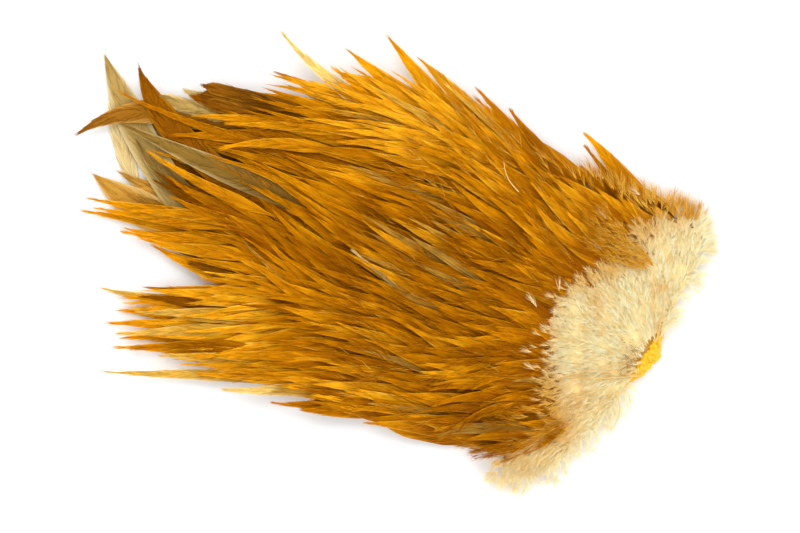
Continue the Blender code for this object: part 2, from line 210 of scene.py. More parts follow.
# A barb's needle: for each point its share of the run, its share of the way out, and its place to the side
# and up in thicknesses
NEEDLE = np.array([
    (0.0, 0.0, -1.0, 0.0), (0.0, 0.0, 0.0, 1.2), (0.0, 0.0, 1.0, 0.0),
    (0.5, 0.58, -0.8, 0.0), (0.5, 0.58, 0.0, 0.96), (0.5, 0.58, 0.8, 0.0), (1.0, 1.0, 0.0, 0.0),
])
# Where barbs leave the shaft, their run in mm, and where they begin and end across the web
BARBS_FROM, BARBS_OVER, BARB_RUN = 0.26, 0.70, (4.0, 10.0)
BARB_BEGINS, BARB_ENDS = (0.03, 0.80), (0.55, 1.05)
BARB_LIFT, WEB_DROOP, BARB_JITTER = 0.12 * MM, 0.26 * MM, 0.18 * MM
# How much longer a shaft is than its chord, the barbs' angle to it and how unlike in tone they are, powers
# that crowd them to the root and shorten the fringe, and the pattern's step from feather to feather in mm
CURVE_EXCESS, BARB_ANGLE, BARB_UNEVENNESS = 1.03, math.radians(11), 0.18
BARB_CROWDING, FRINGE_POWER, PATTERN_STEP = 0.8, 3, 7.31
SHARP_FROM = math.radians(60)
# The web's and the barbs' part of a feather's cell in the bake map, where the barbs' part begins, and what
# a small shape fills of its own cell
WEB_PART, BARB_PART, BARB_PART_FROM = np.array([(0.70, 0.96), (0.27, 0.96), (0.72, 0.0)])
SHAPE_FILLS = 0.9

# Brightness of a web at its root and where it grows, where across and along its edge is paler and how much,
# reach and strength of the shaft's shade, the limits of brightness and the darkest colour
SHADES = ("shade", "glow", "rim")
ROOT_BRIGHTNESS, BRIGHTENS_ALONG = 0.25, (0.40, 0.95)
RIM_ACROSS, RIM_ALONG, RIM_STRENGTH = (0.55, 1.15), (0.35, 0.8), 0.7
SHAFT_REACH, SHAFT_SHADE, BRIGHTNESS_LIMITS, DARKEST = 0.16, 0.30, (-0.35, 1.35), 0.0005


def patch_length(y):
    return PATCH_LENGTH - PATCH_SHORTENING * np.minimum(y - NECK_Y, 0.0) ** 2


def depth(x, y):
    """How far a place lies from the neck edge towards the long tips, from 0 to 1."""
    return (neck_edge_x(y) - x) / patch_length(y)


def at_depth(share, y):
    return neck_edge_x(y) - share * patch_length(y)


def resting_height(x, y):
    """Height of what the feathers lie on: the hide, or past its edge the table."""
    across = np.abs((x - HIDE_MIDDLE[0]) / HIDE_REACH[0]) ** HIDE_ROUNDNESS
    along = np.abs((y - HIDE_MIDDLE[1]) / HIDE_REACH[1]) ** HIDE_ROUNDNESS
    off = (across + along) ** (1 / HIDE_ROUNDNESS) - 1
    return ON_HIDE - (ON_HIDE - ON_TABLE) * smooth_step(*TABLE_FALL, off)


def layer(x, y):
    """Thickness of one row, less at the sides and towards the tips."""
    side = np.minimum(np.abs(y / HALF_PATCH), 1.0) ** LAYER_ROUNDNESS
    rear = smooth_step(LAST_ROOT, 1.0, depth(x, y))
    return LAYER * (1 - (1 - LAYER_AT_EDGE) * side) * (1 - (1 - LAYER_AT_TIPS) * rear)


def stacked_height(x, y, row):
    """Height of a feather of that row where it passes this place, over the rows under it."""
    ahead = depth(x, y)
    behind = LAST_ROOT + LEVEL_BLEND
    reached = (ahead + behind - np.hypot(ahead - behind, LEVEL_BLEND)) / 2
    level = (reached - (LAST_ROOT - row * ROW_STEP)) / ROW_STEP
    return resting_height(x, y) + layer(x, y) * np.maximum(level + 0.5, LOWEST_LEVEL)


def headings(degrees):
    return np.stack([np.cos(np.radians(degrees)), np.sin(np.radians(degrees))], axis=-1)


def laid(feathers, along, across, lift):
    """Points on feathers: shares along their shafts, metres across them and metres over their layer."""
    root, tip = feathers["root"][:, None], feathers["tip"][:, None]
    reach = np.linalg.norm(tip - root, axis=-1, keepdims=True) / 3
    first = root + headings(feathers["root_heading"])[:, None] * reach
    second = tip - headings(feathers["tip_heading"])[:, None] * reach
    t = along[..., None]
    place = (1 - t) ** 3 * root + 3 * (1 - t) ** 2 * t * first + 3 * (1 - t) * t ** 2 * second + t ** 3 * tip
    slope = (1 - t) ** 2 * (first - root) + 2 * (1 - t) * t * (second - first) + t ** 2 * (tip - second)
    slope /= np.linalg.norm(slope, axis=-1, keepdims=True)
    x = place[..., 0] - slope[..., 1] * across
    y = place[..., 1] + slope[..., 0] * across
    curled = feathers["curl"][:, None] * smooth_step(*CURL_ALONG, along)
    return np.stack([x, y, stacked_height(x, y, feathers["row"][:, None]) + lift + curled], axis=-1)


def half_width(feathers, along):
    """Half the web's width: a bare quill at the root, full in the middle, narrowing to the tip."""
    closing = feathers["closing"][:, None]
    opening = QUILL_SHARE + (1 - QUILL_SHARE) * smooth_step(0.0, FULL_FROM, along)
    narrowing = 1 - (np.maximum(along - closing, 0.0) / (1 - closing)) ** POINT_POWER
    return feathers["width"][:, None] / 2 * opening * np.maximum(narrowing, 0.0)


def web_points(feathers):
    """Rings of each web, then its tip, with each point's share along and across."""
    along = np.append(np.repeat(WEB_STATIONS, len(WEB_SHARES)), 1.0)[None]
    rings = (np.tile(ring, len(WEB_STATIONS)) for ring in (WEB_SHARES, WEB_LIFTS))
    shares, lifts = (np.append(ring, 0.0)[None] for ring in rings)
    return laid(feathers, along, shares * half_width(feathers, along), lifts), along, shares


def barb_points(feathers, per_feather, thickness, fringe, rng):
    """Needles that leave the shaft forwards, along the web, and part at its edge. Seven points each."""
    shape = (len(feathers["row"]), per_feather)
    length = np.linalg.norm(feathers["tip"] - feathers["root"], axis=-1)[:, None] * CURVE_EXCESS
    start = BARBS_FROM + BARBS_OVER * rng.random(shape) ** BARB_CROWDING
    run = np.minimum(rng.uniform(*BARB_RUN, shape) * MM, (CURVE_EXCESS - start) * length)
    end_along = np.minimum(start + run / length, 1.0)
    side = np.where(rng.random(shape) < 0.5, -1.0, 1.0)
    begin = half_width(feathers, start) * rng.uniform(*BARB_BEGINS, shape)
    end = half_width(feathers, end_along) * rng.uniform(*BARB_ENDS, shape)
    end += fringe * rng.random(shape) ** FRINGE_POWER
    jitter = BARB_JITTER * (rng.random(shape) - 0.35)
    half = feathers["width"][:, None] / 2
    run_share, out_share, sideways, up = NEEDLE.T
    along = start[..., None] + run_share * (run / length)[..., None]
    across = begin[..., None] + (end - begin)[..., None] * out_share
    lift = (jitter + BARB_LIFT)[..., None] - WEB_DROOP * (across / half[..., None]) ** 2 + up * thickness
    across = side[..., None] * (across + sideways * thickness)
    along, across, lift = (values.reshape(len(start), -1) for values in (along, across, lift))
    points = laid(feathers, np.minimum(along, 1.0), across, lift)
    beyond = np.maximum(along - 1.0, 0.0) * length
    points[..., :2] += headings(feathers["tip_heading"])[:, None] * beyond[..., None]
    return points, along, across / half, side < 0


def tapered_faces(ring, rings):
    """Triangles of a closed form of rings that ends in a point, and their corners' places in the bake map."""
    faces, places = [], []
    for k in range(rings):
        for i in range(ring):
            a, b = k * ring + i, k * ring + (i + 1) % ring
            left, right, low, high = i / ring, (i + 1) / ring, k / rings, (k + 1) / rings
            if k < rings - 1:
                faces += [(a, b, b + ring), (a, b + ring, a + ring)]
                places.append(((left, low), (right, low), (right, high)))
                places.append(((left, low), (right, high), (left, high)))
            else:
                faces.append((a, b, rings * ring))
                places.append(((left, low), (right, low), ((left + right) / 2, high)))
    for i in range(1, ring - 1):
        faces.append((0, i + 1, i))
        places.append(((0.0, 0.98), (0.01, 0.98), (0.0, 0.99)))
    return np.array(faces), np.array(places)


def bake_cells(count):
    """Corners of equal square cells in the bake map, one for each of that many shapes, and their size."""
    columns = math.ceil(math.sqrt(count))
    return np.stack([np.arange(count) % columns, np.arange(count) // columns], axis=-1) / columns, 1 / columns


def set_tints(mesh, tints):
    """Gives each point the colour that the materials read as Tint."""
    full = np.append(tints, np.ones((len(tints), 1)), axis=1).astype(np.float32)
    mesh.attributes.new("Tint", "FLOAT_COLOR", "POINT").data.foreach_set("color", full.ravel())


def mesh_from(name, *layers):
    """A mesh of triangles from lists of arrays: points, corners, their places in the bake map, and for each
    point a tint and its place along the barbs."""
    points, faces, bake, tints, barbs = (
        np.concatenate([array.reshape(-1, array.shape[-1]) for array in arrays]) for arrays in layers
    )
    mesh = bpy.data.meshes.new(name)
    mesh.vertices.add(len(points))
    mesh.vertices.foreach_set("co", points.astype(np.float32).ravel())
    mesh.loops.add(faces.size)
    mesh.loops.foreach_set("vertex_index", faces.astype(np.int32).ravel())
    mesh.polygons.add(len(faces))
    mesh.polygons.foreach_set("loop_start", np.arange(0, faces.size, 3, dtype=np.int32))
    mesh.uv_layers.new(name="OFBake").uv.foreach_set("vector", bake.astype(np.float32).ravel())
    set_tints(mesh, tints)
    barb_values = mesh.attributes.new("Barb", "FLOAT_VECTOR", "POINT").data
    barb_values.foreach_set("vector", barbs.astype(np.float32).ravel())
    mesh.update(calc_edges=True)
    mesh.shade_smooth()
    mesh.set_sharp_from_angle(angle=SHARP_FROM)
    return mesh


def feather_tints(feathers, along, shares, tone):
    """Shaded where the next row lies over it, bright at the tip, and paler at its edges."""
    shade, glow, rim = (feathers[key][:, None, :] for key in SHADES)
    bright = ROOT_BRIGHTNESS + (1 - ROOT_BRIGHTNESS) * smooth_step(*BRIGHTENS_ALONG, along) + tone
    edge = smooth_step(*RIM_ACROSS, np.abs(shares)) * smooth_step(*RIM_ALONG, along)
    shaft = bell(shares, 0.0, SHAFT_REACH) * SHAFT_SHADE
    body = shade + (glow - shade) * np.clip(bright - shaft, *BRIGHTNESS_LIMITS)[..., None]
    return np.clip(body + (rim - body) * (edge * RIM_STRENGTH)[..., None], DARKEST, 1.0)


def feather_mesh(name, feathers, per_feather, thickness, fringe, seed):
    """Webs and barbs of several feathers as one mesh. Each feather has its cell of the bake map, with its web
    in the left part of it and its barbs in the right part."""
    rng = np.random.default_rng(seed)
    count = len(feathers["row"])
    corner, cell = bake_cells(count)
    web, web_along, web_shares = web_points(feathers)
    faces, places = tapered_faces(len(WEB_SHARES), len(WEB_STATIONS))
    per_web = web.shape[1]
    web_faces = faces[:, ::-1] + (np.arange(count) * per_web)[:, None, None]
    web_bake = places[:, ::-1] * (WEB_PART * cell) + corner[:, None, None]
    barbs, along, shares, mirrored = barb_points(feathers, per_feather, thickness, fringe, rng)
    mirrored = mirrored[..., None, None]
    faces, places = tapered_faces(3, 2)
    first = np.arange(count * per_feather).reshape(count, per_feather, 1, 1) * len(NEEDLE) + count * per_web
    barb_faces = np.where(mirrored, faces[:, ::-1], faces) + first
    inner_corner, inner_cell = bake_cells(per_feather)
    barb_bake = np.where(mirrored[..., None], places[:, ::-1], places) * SHAPE_FILLS * inner_cell
    barb_bake = (barb_bake + inner_corner[:, None, None]) * (BARB_PART * cell) + BARB_PART_FROM * cell
    tone = rng.normal(0.0, BARB_UNEVENNESS, (count, per_feather)).repeat(len(NEEDLE), axis=1)
    length = np.linalg.norm(feathers["tip"] - feathers["root"], axis=-1)[:, None]
    own = (np.arange(count) * PATTERN_STEP * MM)[:, None]
    tints, along_barbs = [], []
    for a, s, lighter in ((web_along, web_shares, 0.0), (along, shares, tone)):
        aside = np.abs(s) * feathers["width"][:, None] / 2
        crossed = a * length - aside / math.tan(BARB_ANGLE)
        along_barbs.append(np.stack([crossed, aside, np.broadcast_to(own, aside.shape)], axis=-1))
        tints.append(feather_tints(feathers, a, s, lighter))
    bake = (web_bake, barb_bake + corner[:, None, None, None])
    return mesh_from(name, (web, barbs), (web_faces, barb_faces), bake, tints, along_barbs)


NOISE_LOW, NOISE_HIGH = 0.30, 0.70


def uneven(tree, colour, pattern, swing):
    """The colour made lighter and darker by a pattern, by up to that share of it."""
    gain = add_node(tree, "ShaderNodeMapRange", {
        "Value": pattern, "From Min": NOISE_LOW, "From Max": NOISE_HIGH,
        "To Min": 1 - swing, "To Max": 1 + swing,
    }).outputs["Result"]
    scaled = add_node(tree, "ShaderNodeVectorMath", {0: colour, "Scale": gain}, operation="SCALE")
    return scaled.outputs["Vector"]


def hackle_web(name, streak, relief):
    """Keratin barbs hooked into a web: fine lines at a small angle to the shaft, with a golden satin gleam.

    The real ones are 0.3 mm apart. They are drawn 0.6 mm apart, which is 3.2 mm along the shaft, and in
    bundles, or the picture wouldn't show them."""
    made, tree = new_material(name)
    tint = add_node(tree, "ShaderNodeAttribute", attribute_name="Tint").outputs["Color"]
    barb = add_node(tree, "ShaderNodeAttribute", attribute_name="Barb").outputs["Vector"]
    per_metre = (1 / (3.2 * MM), 1 / (4 * MM), 1 / MM)
    spread = add_node(tree, "ShaderNodeMapping", {"Vector": barb, "Scale": per_metre})
    lines = add_node(tree, "ShaderNodeTexNoise", {
        "Vector": spread.outputs["Vector"], "Scale": 1.0, "Detail": 3.0, "Roughness": 0.65,
    }).outputs["Fac"]
    set_surface(tree, uneven(tree, tint, lines, streak), lines, relief, 0.3, {
        "Roughness": 0.5, "Specular IOR Level": 0.25, "Specular Tint": opaque("#FFC84A"),
    })
    return made


# Corners, in mm, of the area in which the tips of the back's feathers end
TIP_AREA = np.array([
    (100, 45), (92, 45), (82, 45.5), (66, 46), (55, 46), (46, 47), (37, 51.5), (27, 57), (18, 60.5),
    (0, 62), (-22, 59), (-38, 54), (-52, 47), (-62, 40), (-72, 33), (-79, 24), (-79, 12), (-66, 8),
    (-66, -2), (-72, -6), (-80, -8), (-96, -15), (-94, -18), (-82, -21), (-75.5, -22), (-65.5, -24.5),
    (-56, -28.5), (-62, -34.5), (-74, -39), (-80, -44), (-76, -52), (-73, -58), (-66, -60), (-45, -60.5),
    (-25, -60.5), (-5, -60), (15, -60), (32, -58.8), (48, -57.2), (60, -55), (66, -50), (74, -44),
    (76, -38), (70, -32), (65, -25), (63, -14), (62, -5), (65, 3), (69, 10), (74, 17), (80, 22), (92, 24),
    (86, 30), (84, 38), (100, 43),
]) * MM
# Tips in mm of wider feathers that lie under the others and close the gaps between them
UNDER_TIPS = [(x, y) for y in range(-15, 36, 5) for x in (-74, -60, -46, -32)]
UNDER_TIPS += [(x, y) for y in range(-59, -24, 5) for x in (-64, -54, -42, -30, -18)]
UNDER_TIPS += [(x, y) for y in (-57, -53, 50, 54, 58) for x in range(-30, 20, 12)]
UNDER_TIPS += [(58, 48.5), (64, 47.5), (70, 46.5), (76, 46), (83, 47), (89, 46), (40, -59), (50, -58)]
UNDER_TIPS += [(-86, -16), (-84, -11), (-68, -27), (-64, -29), (-40, 48), (-46, 44), (-58, 38), (-68, 32)]
UNDER_ROWS, UNDER_WIDTH, UNDER_CLOSING = 1.6, 1.55, 0.15
TIPS_FROM, TIPS_TO, TIPS_SIDE = 0.106, -0.102, 0.066
TIP_SPACING, TIP_SPACING_GROWTH, TIP_NARROWING = (6.2 * MM, 4.4 * MM), 13.0 * MM, 1.3 * MM
SPACING_POWER, TIP_SHIFT = 1.5, 0.30
# Depth of the tips of the rearmost row and from row to row, and a feather's length in the front row and what
# it gains from row to row, all as shares of the patch's length. In front of GROWTH_FROM they are shorter
REAR_TIP, TIP_STEP, FRONT_LENGTH, LENGTH_STEP, FRONT_ROW = 1.064, 0.0536, 0.17, 0.0196, 15
SMALLEST_FEATHER, GROWTH_FROM = 0.055, 0.26
DOWN_MIDDLE, DOWN_HALF_WIDTH, UNDER_DOWN, UNDER_HUMP = -3 * MM, 22 * MM, 0.047, 0.077
ROOT_SIDES, FOREMOST_ROOT, ROWS_UNDER_DOWN = (-54 * MM, 44 * MM), 0.02, 0.6
# How much less the feathers vary towards the tips, and shares of a tip's turn that its root's place and its
# root's heading take over
STEADYING, TURN_IN_PLACE, TURN_AT_ROOT = 0.6, 0.8, 0.6
BACK_SEED = 20

# Places where the feathers lie turned against the fan: x, y and reach in mm, and degrees
TURNED_PLACES = (
    (-28, 34, 23, 36), (2, 32, 12, 12), (-40, 3, 18, -24), (-43, -17, 12, -12), (48, -40, 18, 52),
    (-37, -37, 20, 10), (-56, -38, 12, 8), (17, -24, 12, -12), (36, -3, 14, 9), (54, 30, 12, -6),
)
# The fan: how far the patch reaches to both sides, where it is widest, degrees of its splay, and where it
# closes. Then the degrees by which the lower lobe turns, and where
FAN_HIGH, FAN_TAPER, FAN_WIDEST, FAN_LOW = 57 * MM, 70 * MM, 0.48, 58 * MM
FAN_START, FAN_SPLAY, FAN_POWER, FAN_CLOSING, FAN_CLOSES = -9, 33, 0.9, 36, (0.60, 0.95)
LOBE_TURN, LOBE_ACROSS, LOBE_ALONG = 10, (-20 * MM, -50 * MM), (0.4, 0.7)


def down_hump(y):
    """How far the down reaches over the back at the middle, as a share."""
    return bell(y, DOWN_MIDDLE, DOWN_HALF_WIDTH)


def inside(area, x, y):
    """Whether each place lies within the area's corners."""
    found = np.zeros(x.shape, bool)
    for (ax, ay), (bx, by) in zip(area, np.roll(area, -1, axis=0)):
        crosses = (ay > y) != (by > y)
        with np.errstate(divide="ignore", invalid="ignore"):
            found ^= crosses & (x < (bx - ax) * (y - ay) / (by - ay) + ax)
    return found


def root_depth_of(tip_depth):
    """Depth of the root of a feather whose tip lies at that depth. The front ones are short."""
    grown = FRONT_LENGTH + LENGTH_STEP * (FRONT_ROW - (REAR_TIP - tip_depth) / TIP_STEP)
    young = np.clip(tip_depth / GROWTH_FROM, 0.0, 1.0)
    short = SMALLEST_FEATHER + (FRONT_LENGTH - SMALLEST_FEATHER) * young
    return tip_depth - np.where(tip_depth < GROWTH_FROM, short, grown)


def row_at(root_share, y):
    """Row of a feather by its root's depth. The front ones stay under the down of the neck."""
    under_down = (LAST_ROOT - UNDER_DOWN - UNDER_HUMP * down_hump(y)) / ROW_STEP - ROWS_UNDER_DOWN
    return np.minimum((LAST_ROOT - root_share) / ROW_STEP, under_down)


def sum_of_places(x, y, places):
    """Adds up amounts that fade out round places, given as x, y, reach in mm and amount."""
    total = np.zeros(np.shape(x))
    for place_x, place_y, reach, amount in places:
        total += amount * np.exp(-((x / MM - place_x) ** 2 + (y / MM - place_y) ** 2) / reach ** 2)
    return total


def flow(x, y):
    """Heading of the feathers' tips at a place, in degrees: fanned out, and together again at the tips."""
    share_down = depth(x, y)
    high = FAN_HIGH - FAN_TAPER * np.abs(share_down - FAN_WIDEST)
    side = np.clip((y + FAN_LOW) / (high + FAN_LOW), 0.0, 1.0)
    splay = FAN_START + FAN_SPLAY * side ** FAN_POWER
    splay = splay - FAN_CLOSING * side * smooth_step(*FAN_CLOSES, share_down)
    lobe = LOBE_TURN * smooth_step(*LOBE_ACROSS, y) * smooth_step(*LOBE_ALONG, share_down)
    return 180 - splay + lobe + sum_of_places(x, y, TURNED_PLACES)


rng = np.random.default_rng(BACK_SEED)
tips = []
across_line = 0
x = TIPS_FROM
while x > TIPS_TO:
    share = max(float(depth(x, 0.0)), 0.0)
    line_gap = TIP_SPACING[0] + TIP_SPACING_GROWTH * share ** SPACING_POWER
    side_gap = TIP_SPACING[1] - TIP_NARROWING * share
    y_values = np.arange(-TIPS_SIDE, TIPS_SIDE, side_gap) + (across_line % 2) * side_gap / 2
    shifts = rng.normal(0.0, TIP_SHIFT, (len(y_values), 2)) * (line_gap, side_gap)
    tips += list(np.stack([np.full(len(y_values), x), y_values], axis=-1) + shifts)
    x -= line_gap
    across_line += 1
tips = np.array(tips + [(x * MM, y * MM) for x, y in UNDER_TIPS])
under = np.arange(len(tips)) >= len(tips) - len(UNDER_TIPS)
kept = np.flatnonzero(inside(TIP_AREA, tips[:, 0], tips[:, 1]))
kept = kept[depth(tips[kept, 0], tips[kept, 1]).argsort()]
tips, under = tips[kept], under[kept]
tip_x, tip_y = tips.T
tip_depth = depth(tip_x, tip_y)
count = len(tips)

root_share = root_depth_of(tip_depth) * rng.uniform(0.97, 1.03, count)
steady = 1 - STEADYING * tip_depth
aim = flow(tip_x, tip_y) + rng.normal(0.0, 5.0, count) * steady
run = (tip_depth - root_share) * patch_length(tip_y)
root_y = tip_y - run * np.tan(np.radians((180 - aim) * TURN_IN_PLACE)) + rng.normal(0.0, 1.5 * MM, count)
root_y = np.clip(root_y, *ROOT_SIDES)
nearer_middle = np.where(np.abs(root_y - DOWN_MIDDLE) < np.abs(tip_y - DOWN_MIDDLE), root_y, tip_y)
# Where each feather stands and ends in plan, its headings in degrees, its row, width, closing and curl
back = {
    "root": np.stack([at_depth(np.maximum(root_share, FOREMOST_ROOT), root_y), root_y], axis=-1),
    "tip": tips,
    "root_heading": 180 - (180 - aim) * TURN_AT_ROOT,
    "tip_heading": aim + rng.normal(0.0, 6.0, count) * steady,
    "row": row_at(root_share, nearer_middle) + rng.normal(0.0, 0.30, count),
    "width": (5.2 + 0.3 * smooth_step(0.2, 0.7, tip_depth)) * MM * rng.uniform(0.8, 1.2, count),
    "closing": rng.uniform(0.30, 0.52, count),
    "curl": 0.8 * MM * rng.random(count) ** 2,
}
back["row"] -= UNDER_ROWS * under
back["width"] *= 1 + (UNDER_WIDTH - 1) * under
back["closing"] += UNDER_CLOSING * under

# Golden browns, from the shaded part of a web to its bright tip and its edge, and taupe for a few feathers
DEEP_SHADE, WARM_SHADE = linear("#642F00"), linear("#964E00")
DULL_GLOW, GOLD_GLOW, BRIGHT_GLOW = linear("#B46C00"), linear("#D88E02"), linear("#FFBC1C")
GOLD_RIM, PALE_RIM = linear("#E09A10"), linear("#F6CB58")
TAUPE = (linear("#7E5E1E"), linear("#B89846"), linear("#DABF78"))
TAUPE_MIDDLE, TAUPE_REACH, TAUPE_FROM = (6 * MM, 8 * MM), 17 * MM, 0.18
TAUPE_ANYWHERE, TAUPE_AT_MIDDLE, TAUPE_STRENGTH, TAUPE_WIDTH = 0.05, 0.35, 0.6, 0.8

# Places in mm that are brighter or darker than the rest: x, y, reach, amount
MIDDLE_LIGHT = 0.46
LIGHT_PLACES = (
    (-66, -52, 26, 1.0), (-60, -12, 16, -0.22), (-12, 52, 26, 0.50), (40, 48, 24, 0.22), (-40, 46, 20, 0.25),
    (-55, 25, 20, -0.15), (20, -10, 40, -0.06), (10, -50, 30, 0.10), (90, 32, 20, 0.45), (72, -41, 9, 0.40),
    (-33, -37, 11, -0.28), (-54, -7, 9, -0.20), (2, -56, 8, 0.35), (58, -46, 8, -0.15),
)


def mixed(stops, share):
    """A colour between evenly spaced stops."""
    stops = np.array(stops)
    place = np.clip(share, 0.0, 1.0) * (len(stops) - 1)
    first = np.minimum(place.astype(int), len(stops) - 2)
    part = (place - first)[:, None]
    return stops[first] * (1 - part) + stops[first + 1] * part


light = MIDDLE_LIGHT + sum_of_places(tip_x, tip_y, LIGHT_PLACES) + rng.normal(0.0, 0.14, count)
back["shade"] = mixed([DEEP_SHADE, WARM_SHADE, DULL_GLOW], light * 0.8)
back["glow"] = mixed([WARM_SHADE, DULL_GLOW, GOLD_GLOW, BRIGHT_GLOW], light + 0.12)
back["rim"] = mixed([DULL_GLOW, GOLD_RIM, PALE_RIM], light + rng.normal(0.0, 0.12, count))
from_taupe = np.hypot(tip_x - TAUPE_MIDDLE[0], tip_y - TAUPE_MIDDLE[1])
taupe = rng.random(count) < TAUPE_ANYWHERE + TAUPE_AT_MIDDLE * bell(from_taupe, 0.0, TAUPE_REACH)
taupe &= tip_depth > TAUPE_FROM
for key, colour in zip(SHADES, TAUPE):
    back[key][taupe] += (colour - back[key][taupe]) * TAUPE_STRENGTH
back["width"][taupe] *= TAUPE_WIDTH

GROUPS, BACK_BARBS = 5, 48
BARB_THICKNESS, BACK_FRINGE = 0.11 * MM, 0.7 * MM
golden_web = hackle_web("golden brown hackle web", 0.34, 0.5)
starts = np.linspace(0, count, GROUPS + 1).astype(int)
stands_for = [[] for _ in range(GROUPS)]
for name in sorted(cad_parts):
    if name.startswith("back_feather_"):
        low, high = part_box(name)
        rear = depth(low.x, (low.y + high.y) / 2)
        stands_for[np.searchsorted(tip_depth[starts[1:-1]], rear, side="right")].append(name)
for group in range(GROUPS):
    chosen = {key: values[starts[group]:starts[group + 1]] for key, values in back.items()}
    seed = BACK_SEED + 1 + group
    mesh = feather_mesh(f"back_hackles_{group + 1}", chosen, BACK_BARBS, BARB_THICKNESS, BACK_FRINGE, seed)
    finish_piece(mesh, golden_web, "gold_vane", *stands_for[group])

# The feathers that stand out
# Longer or odd feathers at the rear end and along both sides: beige and brown ones that cross at the upper
# lobe, bright gold ones at the lower lobe, and gold points that stick out of the edges.

# name, tip in mm, heading of the tip, Y of the root in mm, row, width in mm, closing, colours
SINGLE_FEATHERS = (
    ("grey_feather_outer", (-111, 34.7), 128, -22, -1, 11, 0.84, "sand"),
    ("brown_feather_upright", (-98.2, 34.2), 126, 0, 1, 9.5, 0.84, "chestnut"),
    ("brown_feather_inner", (-93.6, -3), 168, -5, 0, 13, 0.55, "tan"),
    ("brown_feather_curved", (-111.7, 4.3), 236, 23, 2, 9.5, 0.74, "fawn"),
    ("brown_feather_blunt", (-74.6, 31.9), 186, 38, 4, 9.5, 0.98, "umber"),
    ("tan_feather", (-101.9, -6.4), 156, -15, 2, 12.5, 0.86, "tan"),
    ("grey_feather_middle", (-98, 13.4), 172, 6, 3, 8.4, 0.62, "khaki"),
    ("gold_feather_low", (-101.5, -19.9), 189, -12, 1, 8.5, 0.55, "bright"),
    ("gold_feather_inner", (-85.6, -20.9), 181, -17, 3, 10, 0.55, "bright"),
    ("gold_feather_high", (-101.6, 23.7), 171, 23, 3, 6.4, 0.36, "gold"),
    ("gold_feather_notch", (-73.6, -24), 170, -26, 2, 9.5, 0.6, "bright"),
    ("gold_feather_crossing", (-82.6, 8), 178, 18, 4, 10, 0.5, "bright"),
    ("lobe_feather_1", (-86, -43.7), 186, -36, 1, 9, 0.5, "pale"),
    ("lobe_feather_2", (-78.6, -49.2), 195, -40, 0, 9.5, 0.58, "bright"),
    ("lobe_feather_3", (-80.7, -54.6), 200, -44, 2, 9, 0.55, "bright"),
    ("lobe_feather_4", (-73.9, -57.8), 202, -46, 1, 8, 0.55, "bright"),
    ("lobe_feather_5", (-75.4, -61.8), 199, -47, 3, 8.5, 0.55, "bright"),
    ("lobe_feather_6", (-71.6, -38.5), 191, -27, 3, 10.5, 0.6, "gold"),
    ("slim_feather", (-76.3, -71.1), 194, -52, 4, 5.5, 0.55, "pale"),
    ("lower_edge_feather_1", (-34.8, -64), 194, -50, 6, 7, 0.5, "ivory"),
    ("lower_edge_feather_2", (-6.6, -62), 190, -49, 9, 10, 0.55, "gold"),
    ("upper_edge_feather_1", (-51, 47.2), 176, 40, 5, 9, 0.55, "gold"),
    ("upper_edge_feather_2", (-54, 60.9), 148, 41, 6, 7.5, 0.56, "ivory"),
    ("upper_edge_feather_3", (-30.1, 62.1), 160, 44, 8, 10, 0.6, "bright"),
    ("upper_edge_feather_4", (-18.3, 71.1), 147, 42, 9, 9.5, 0.6, "bright"),
    ("upper_edge_feather_5", (-5.1, 66.9), 158, 43, 10, 10, 0.62, "gilt"),
    ("upper_edge_feather_6", (17.4, 63), 152, 38, 13, 8, 0.5, "gold"),
    ("upper_edge_feather_7", (57.8, 60.1), 158, 46, 15, 7.5, 0.5, "bright"),
)
# Shaded part, bright tip and edge of each colour of feather
COLOURS = {
    "gold": ("#8A4C00", "#D08400", "#E6A218"),
    "bright": ("#B46C02", "#F2AA0C", "#F8CC50"),
    "gilt": ("#A86400", "#E8A41A", "#FAE29A"),
    "pale": ("#C08A22", "#EFC458", "#F8E2A0"),
    "ivory": ("#D2A038", "#F8DC88", "#FFF2C8"),
    "cream": ("#D8BC80", "#F2E2B0", "#FFF6D8"),
    "chestnut": ("#6E3800", "#965700", "#B4740E"),
    "umber": ("#623804", "#8E540A", "#AE7820"),
    "tan": ("#9C6C20", "#CE9A3E", "#E6C98A"),
    "beige": ("#98783A", "#D6BC80", "#F0E2B8"),
    "sand": ("#A68A4C", "#B69654", "#EAD8A8"),
    "khaki": ("#6C4C1A", "#987634", "#D6BC84"),
    "taupe": ("#6E5222", "#9C7C40", "#C0A060"),
    "fawn": ("#7A4A0A", "#A46A1C", "#CFA052"),
}
PALES = ("pale", "ivory")
GOLDS, GOLD_WIDTH_SHARE = ("gold", "bright", "gilt", *PALES), 0.80
SINGLE_BARBS, SINGLE_FRINGE, SINGLE_SEED = 140, 0.8 * MM, 70
BEIGE_BARB_THICKNESS = 0.06 * MM
LISTED_CURL, EARLIER_CLOSING = 0.2 * MM, 0.06

# How far some of them lie over or under where their root's row puts them, in rows
CROSSED = {
    "grey_feather_outer": 2.6, "tan_feather": -1.5, "brown_feather_upright": 3.2, "grey_feather_middle": 1.8,
    "gold_feather_high": 2.2, "brown_feather_curved": 1.4, "gold_feather_crossing": -1.5,
}


def listed(tips, roots, tip_headings, root_headings, rows, widths, closings, colours):
    """Feathers that are listed one by one, with their widths in mm."""
    feathers = {
        "tip": tips, "root": roots, "tip_heading": np.array(tip_headings, float),
        "root_heading": np.array(root_headings, float), "row": np.array(rows), "width": np.array(widths) * MM,
        "closing": np.array(closings), "curl": np.full(len(tips), LISTED_CURL),
    }
    for part, key in enumerate(SHADES):
        feathers[key] = np.array([linear(COLOURS[colour][part]) for colour in colours])
    return feathers


